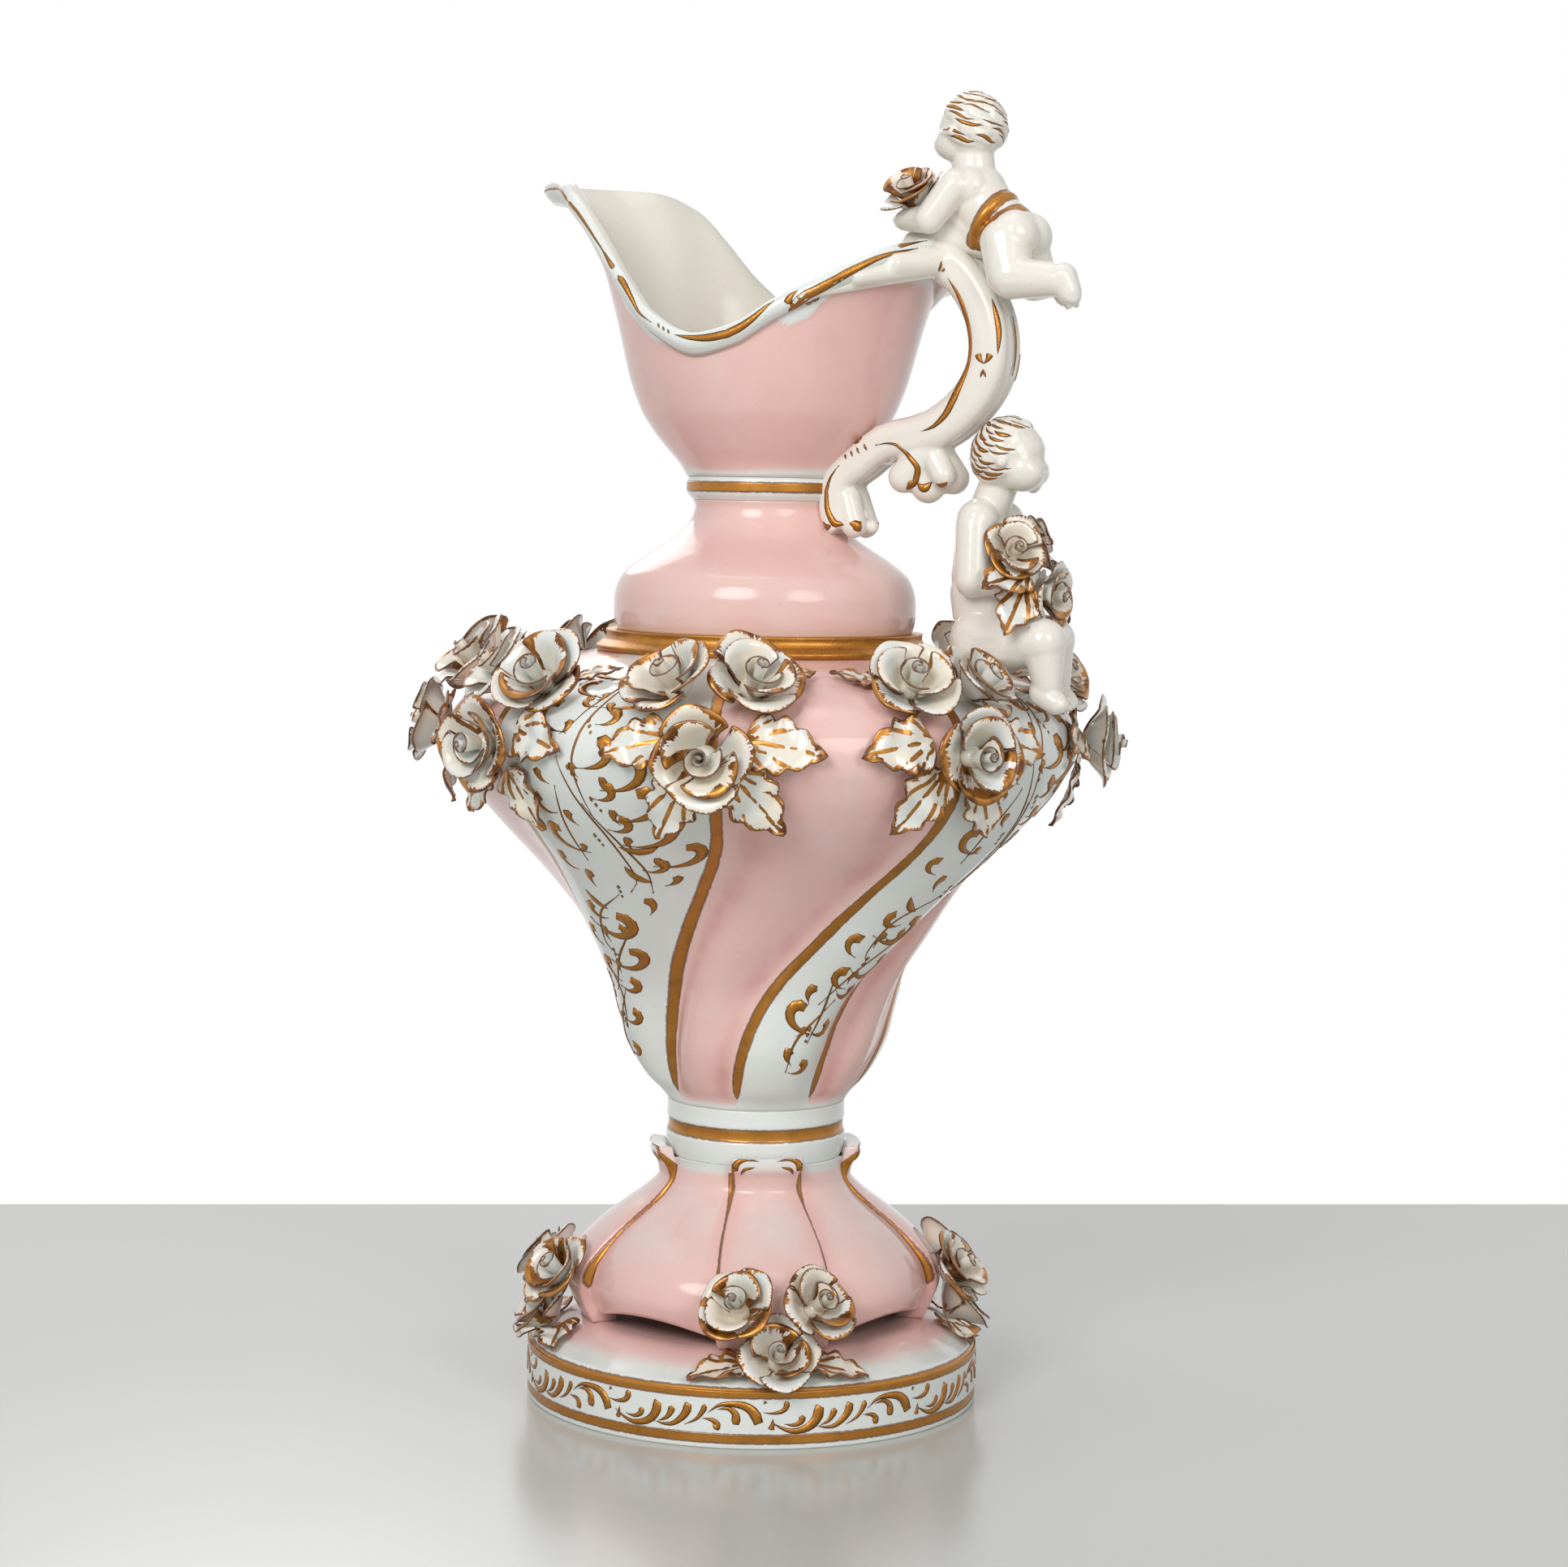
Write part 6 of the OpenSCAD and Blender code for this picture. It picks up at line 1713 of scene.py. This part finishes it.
def child_face(bm, c, r, ahead, up):
    """A calm child's face on plain proportions"""
    side = up.cross(ahead)

    def at(across, high, out=0.93):
        flat = math.sqrt(max(0.0, 1 - (across ** 2 + high ** 2) * 0.82))
        return c + (side * across + up * high + ahead * out * flat) * r
    for s in (-1, 1):
        push(bm, at(0.36 * s, -0.06), r * 0.15, -ahead * r * 0.085, side)
        push(bm, at(0.36 * s, -0.08), r * 0.085, ahead * r * 0.05)
        push(bm, at(0.36 * s, 0.14), r * 0.12, ahead * r * 0.035, side)
        push(bm, at(0.5 * s, -0.46), r * 0.24, (ahead + side * s * 0.6) * r * 0.07)
    push(bm, at(0, -0.1), r * 0.09, ahead * r * 0.06)
    push(bm, at(0, -0.27), r * 0.095, ahead * r * 0.16)
    push(bm, at(0, -0.51), r * 0.14, ahead * r * 0.055, side)
    push(bm, at(0, -0.53, 1.0), r * 0.05, -ahead * r * 0.075, side)
    push(bm, at(0, -0.66), r * 0.1, -ahead * r * 0.03, side)
    push(bm, at(0, -0.84), r * 0.16, (ahead - up * 0.5) * r * 0.09)
    for s in (-1, 1):
        push(bm, at(0.16 * s, -0.53, 1.0), r * 0.05, -ahead * r * 0.03)


HEAD_FORM = (1, 0.93, 0.98)
# The relief of gold in hair, as a share of the other gold's, and its thickness in millimetres
HAIR_RELIEF, HAIR_BACKING = 5 / 6, 0.25


def cherub(solid, parts, head, ahead, up, extra, crown, rolls=()):
    """Melts a cherub's limbs into one skin, gives it a face and paints its hair

    The head is its centre and radius; the crown is how far the hair starts up and back, and if it winds.
    """
    c, r = Vector(head[:3]), head[3]
    ahead, up = Vector(ahead).normalized(), Vector(up).normalized()
    up = (up - ahead * up.dot(ahead)).normalized()
    side = up.cross(ahead)
    bm = bmesh.new()
    for a, b, ra, rb in parts:
        limb(bm, a, b, ra, rb)
    ball(bm, c, r, HEAD_FORM)
    for s in (-1, 1):
        ball(bm, c + (ahead * 0.42 + side * 0.3 * s - up * 0.36) * r, r * 0.6)
        ball(bm, c + (side * 0.93 * s - ahead * 0.05 - up * 0.18) * r, r * 0.17)
    ball(bm, c + (ahead * 0.62 - up * 0.66) * r, r * 0.3)
    extra(bm)
    locks = locks_of_hair((up * crown[0] - ahead * crown[1]).normalized(), ahead, crown[2])
    scale = Matrix.Diagonal(HEAD_FORM)
    for lock in locks:
        line = [c + scale @ n * r * 0.965 for n in lock]
        for k in range(3):
            limb(bm, line[k], line[k + 1], r * (0.11, 0.135, 0.12)[k], r * (0.135, 0.12, 0.07)[k])
    for path, radius in rolls:
        line = smooth_path(path, 30)
        for a, b in zip(line, line[1:]):
            limb(bm, a, b, radius, radius)
    bmesh.ops.recalc_face_normals(bm, faces=bm.faces)
    bm = remeshed(bm, CHERUB_VOXEL, 4)
    child_face(bm, c, r, ahead, up)
    smooth(bm, 1)
    gold = bm.verts.layers.float.new("gold")
    for v in bm.verts:
        v[gold] = NO_GOLD
    for path, radius in rolls:
        line = smooth_path(path, 60)
        for v in bm.verts:
            if (v.co - line[0]).length > 60 or min((v.co - p).length_squared for p in line[::2]) > 30:
                continue
            near = math.sqrt(min((v.co - p).length_squared for p in line))
            v[gold] = max(v[gold], radius + 0.8 - near)
    mark_crease_grime_and_shade(bm, 14, 1.8)
    skin = skin_of(bm)
    keep(bm, solid + "_glazed", [glazed("cherub glaze", glazes().cherub)], [solid])
    gilt = bmesh.new()
    for k, lock in enumerate(locks):
        if k % 7 == 6:
            continue
        beside = [n + n.cross(lock[-1] - lock[0]).normalized() * 0.1 for n in lock]
        width = r * (0.065 + 0.03 * (k % 3))
        gild(gilt, skin, [c + scale @ n * r * 1.08 for n in beside], width, full_middle, 9, HAIR_RELIEF)
    keep_gilding(gilt, solid + "_glazed_hair_gilding", HAIR_BACKING)


class JUG_OT_lower_cherub(bpy.types.Operator):
    """Cherub that sits on the shoulder under the handle, with a bouquet"""
    bl_idname = "jug.lower_cherub"
    bl_label = "Sitting cherub"

    def execute(self, context):
        parts = mirrored([
            ((108, 7, 330), (107, 6.5, 334), 13.2, 13), ((106.8, 12.6, 382.5), (105.5, 9, 383), 8.6, 8.8),
            ((106.6, 14.4, 380), (107.8, 17.8, 358), 8, 7.2), ((107.8, 17.8, 358), (125, 8.5, 357.5), 6.8, 5),
            ((113, 8.4, 332), (128, 9, 333.6), 12.4, 10.6)])
        # The far leg is a little further back
        legs = ((-1, 0), (1, -5))
        for s, back in legs:
            parts += [((128 + back, 9 * s, 333.6), (136.5 + back, 9.6 * s, 333.6), 10.6, 10),
                      ((137 + back, 9.6 * s, 332.6), (139 + back, 9.8 * s, 316.5), 9.4, 6.2)]
        parts += [((106, 0, 346), (104.5, 0, 352), 14.6, 14.2), ((104, 0, 360), (104.5, 0, 375), 13.4, 12.2),
                  ((106, 0, 386), (110, 0, 397), 8.6, 8.2), ((104, -7, 380), (104, 7, 380), 8.5, 8.5)]

        def extra(bm):
            """Heels, feet and hands"""
            for s, back in legs:
                limb(bm, (137.5 + back, 10 * s, 312.5), (143.5 + back, 10.2 * s, 308.6), 6, 4.8)
                foot_of(bm, (138.5 + back, 10 * s, 311.5), (145 + back, 10.2 * s, 308.2), (0.9, 0, -0.42),
                        (0, -s, 0))
                hand_of(bm, (124, 8.5 * s, 357), (127, 6 * s, 358), (0.4, -s, 0.2), (0.5, 0, 0.8))
        cherub("lower_cherub", parts, (114.8, 0, 409.6, 15.4), (0.96, 0.28, -0.02), (0, 0, 1), extra,
               (0.8, 0.6, False))
        return {"FINISHED"}


class JUG_OT_upper_cherub(bpy.types.Operator):
    """Cherub that lies over the handle's crown, with gilt cloth round its waist"""
    bl_idname = "jug.upper_cherub"
    bl_label = "Lying cherub"

    def execute(self, context):
        parts = mirrored([
            ((92.8, 11, 519.5), (95, 7, 519), 7.6, 8.5), ((92.4, 12, 519), (83.2, 15.6, 506), 7, 6.3),
            ((83.2, 15.6, 506), (69, 9, 506.5), 6.2, 4.9), ((117.5, 6.6, 499.3), (116, 7, 497), 10.6, 10.4),
            ((115, 8.4, 496), (118.5, 12, 482.8), 11, 9.4)])
        parts += [((120, -12.3, 481.6), (141, -13, 480.6), 9, 6.8), ((120, 11, 482), (134, 5, 481.5), 8.8, 6),
                  ((70, 0, 497), (86, 0, 500), 6.6, 8.6), ((86, 0, 500), (103, 0, 497), 8.6, 7),
                  ((92, 0, 508), (99, 0, 502), 9, 9), ((97.5, 0, 517), (101, 0, 511), 12.6, 12.4),
                  ((103.5, 0, 508), (113, 0, 501), 12.3, 11.8), ((95, 0, 533), (95.5, 0, 523), 8.8, 9.6),
                  ((97, -6, 519), (97, 6, 519), 9, 9)]

        def extra(bm):
            """Heels, feet and hands; the far leg is drawn in behind the near one"""
            for s, back, y in ((-1, 0, -13), (1, -9, 4)):
                limb(bm, (142.8 + back, y, 481.2), (146 + back, y, 475.6), 6.6, 5.2)
                foot_of(bm, (145 + back, y, 481), (147.4 + back, y, 473.8), (0.2, 0, -0.97), (0, -s, 0))
                hand_of(bm, (70, 9 * s, 506.5), (66.5, 7.5 * s, 506.5), (-0.7, -s * 0.7, -0.1),
                        (0.2, -s * 0.3, 0.8))

        def ring(c, r, tilt):
            """A roll of cloth round the waist, open at the front"""
            d = Vector((math.sin(tilt), 0, math.cos(tilt)))
            return [c + d * r * math.cos(a) + Vector((0, -1, 0)) * (r + 0.4) * math.sin(a)
                    for a in [math.radians(x) for x in range(-150, 151, 25)]]
        rolls = [(ring(Vector((105.2, 0, 505.6)), 12, math.radians(34)), 2.3),
                 (ring(Vector((109.4, 0, 502.4)), 11.2, math.radians(50)), 2.1)]
        cherub("upper_cherub", parts, (94.6, -0.5, 544.2, 14.1), (-1, 0.3, -0.12), (-0.05, 0, 1), extra,
               (0.98, 0.12, True), rolls)
        return {"FINISHED"}


# What the sitting cherub holds: a place on it in shares of its height, its radius there, the way outward,
# lean and yaw, and for leaves the heading
ARMS, LAP_NEAR, LAP_FAR = (0.04, 0, 0.5), (0.24, -0.05, 0.36), (0.24, 0.05, 0.36)
HELD_ROSES = ((ARMS, 0.13, (0.86, -0.5, 0.08), 32, -38), (ARMS, 0.13, (0.84, 0.5, 0.12), 34, 36),
              (LAP_NEAR, 0.04, (0.62, 0.62, -0.34), -4, 0))
HELD_LEAVES = ((LAP_NEAR, 0.04, (-0.2, -0.6, 1), 50, -12, 176),
               (LAP_NEAR, 0.04, (0.1, -1, 0), 44, -30, 212), (LAP_FAR, 0.04, (0.1, 1, 0), 44, 30, -32))


class JUG_OT_held_flowers(bpy.types.Operator):
    """Roses and leaves that the cherubs hold"""
    bl_idname = "jug.held_flowers"
    bl_label = "Held flowers"

    def execute(self, context):
        rng = random.Random(sizes().seed * 300)
        d, tall = HELD_ROSE_D, 109
        seat = Vector((BODY_R * 0.73, 0, Z_BODY + BODY_H * 0.965))

        def beside(place, radius, way, off):
            """A point that stands off the sitting cherub"""
            return seat + Vector(place) * tall + Vector(way).normalized() * (radius * tall + off + 0.3)
        roses, leaves, one = bmesh.new(), bmesh.new(), bmesh.new()
        for place, radius, way, lean, yaw in HELD_ROSES:
            q = beside(place, radius, way, d * 0.14)
            low = 4 if place == ARMS else 0
            rose(roses, d * 0.88, standing(0, q.x, q.z - low, lean, yaw, yaw, q.y), rng)
        for place, radius, way, lean, yaw, heading in HELD_LEAVES:
            q = beside(place, radius, way, 0.3)
            leaf(leaves, d, BODY_R, standing(0, q.x, q.z, lean, yaw, heading, q.y), rng)
        lo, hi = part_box("upper_cherub_roses")
        mid = (lo + hi) / 2 / MM
        rose(one, d * 0.94, standing(0, mid.x + 9, mid.z + 0.5, 104, -34, 20, mid.y), rng)
        for made, solid in ((roses, "lower_cherub_roses"), (leaves, "lower_cherub_leaves"),
                            (one, "upper_cherub_roses")):
            keep_clay(made, solid, 0.85)
        return {"FINISHED"}


class JUG_PT_panel(bpy.types.Panel):
    """The jug's pieces, glazes and sizes"""
    bl_idname = "JUG_PT_panel"
    bl_label = "Porcelain jug"
    bl_space_type = "VIEW_3D"
    bl_region_type = "UI"
    bl_category = "Jug"

    def draw(self, context):
        column = self.layout.column()
        for group in (context.scene.jug_glazes, context.scene.jug_sizes):
            for name in group.__annotations__:
                column.prop(group, name)
        for operator in OPERATORS:
            column.operator(operator.bl_idname)


OPERATORS = (JUG_OT_stage, JUG_OT_plinth, JUG_OT_collars, JUG_OT_foot, JUG_OT_body, JUG_OT_mouth,
             JUG_OT_handle, JUG_OT_lower_cherub, JUG_OT_upper_cherub, JUG_OT_shoulder_flowers,
             JUG_OT_foot_flowers, JUG_OT_held_flowers)
CLASSES = (JugGlazes, JugSizes, *OPERATORS, JUG_PT_panel)


def register():
    for c in CLASSES:
        bpy.utils.register_class(c)
    bpy.types.Scene.jug_glazes = PointerProperty(type=JugGlazes)
    bpy.types.Scene.jug_sizes = PointerProperty(type=JugSizes)


def unregister():
    del bpy.types.Scene.jug_sizes
    del bpy.types.Scene.jug_glazes
    for c in reversed(CLASSES):
        bpy.utils.unregister_class(c)


def main():
    register()
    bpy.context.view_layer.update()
    for operator in OPERATORS:
        group, call = operator.bl_idname.split(".")
        getattr(getattr(bpy.ops, group), call)()


if __name__ == "__main__":
    main()
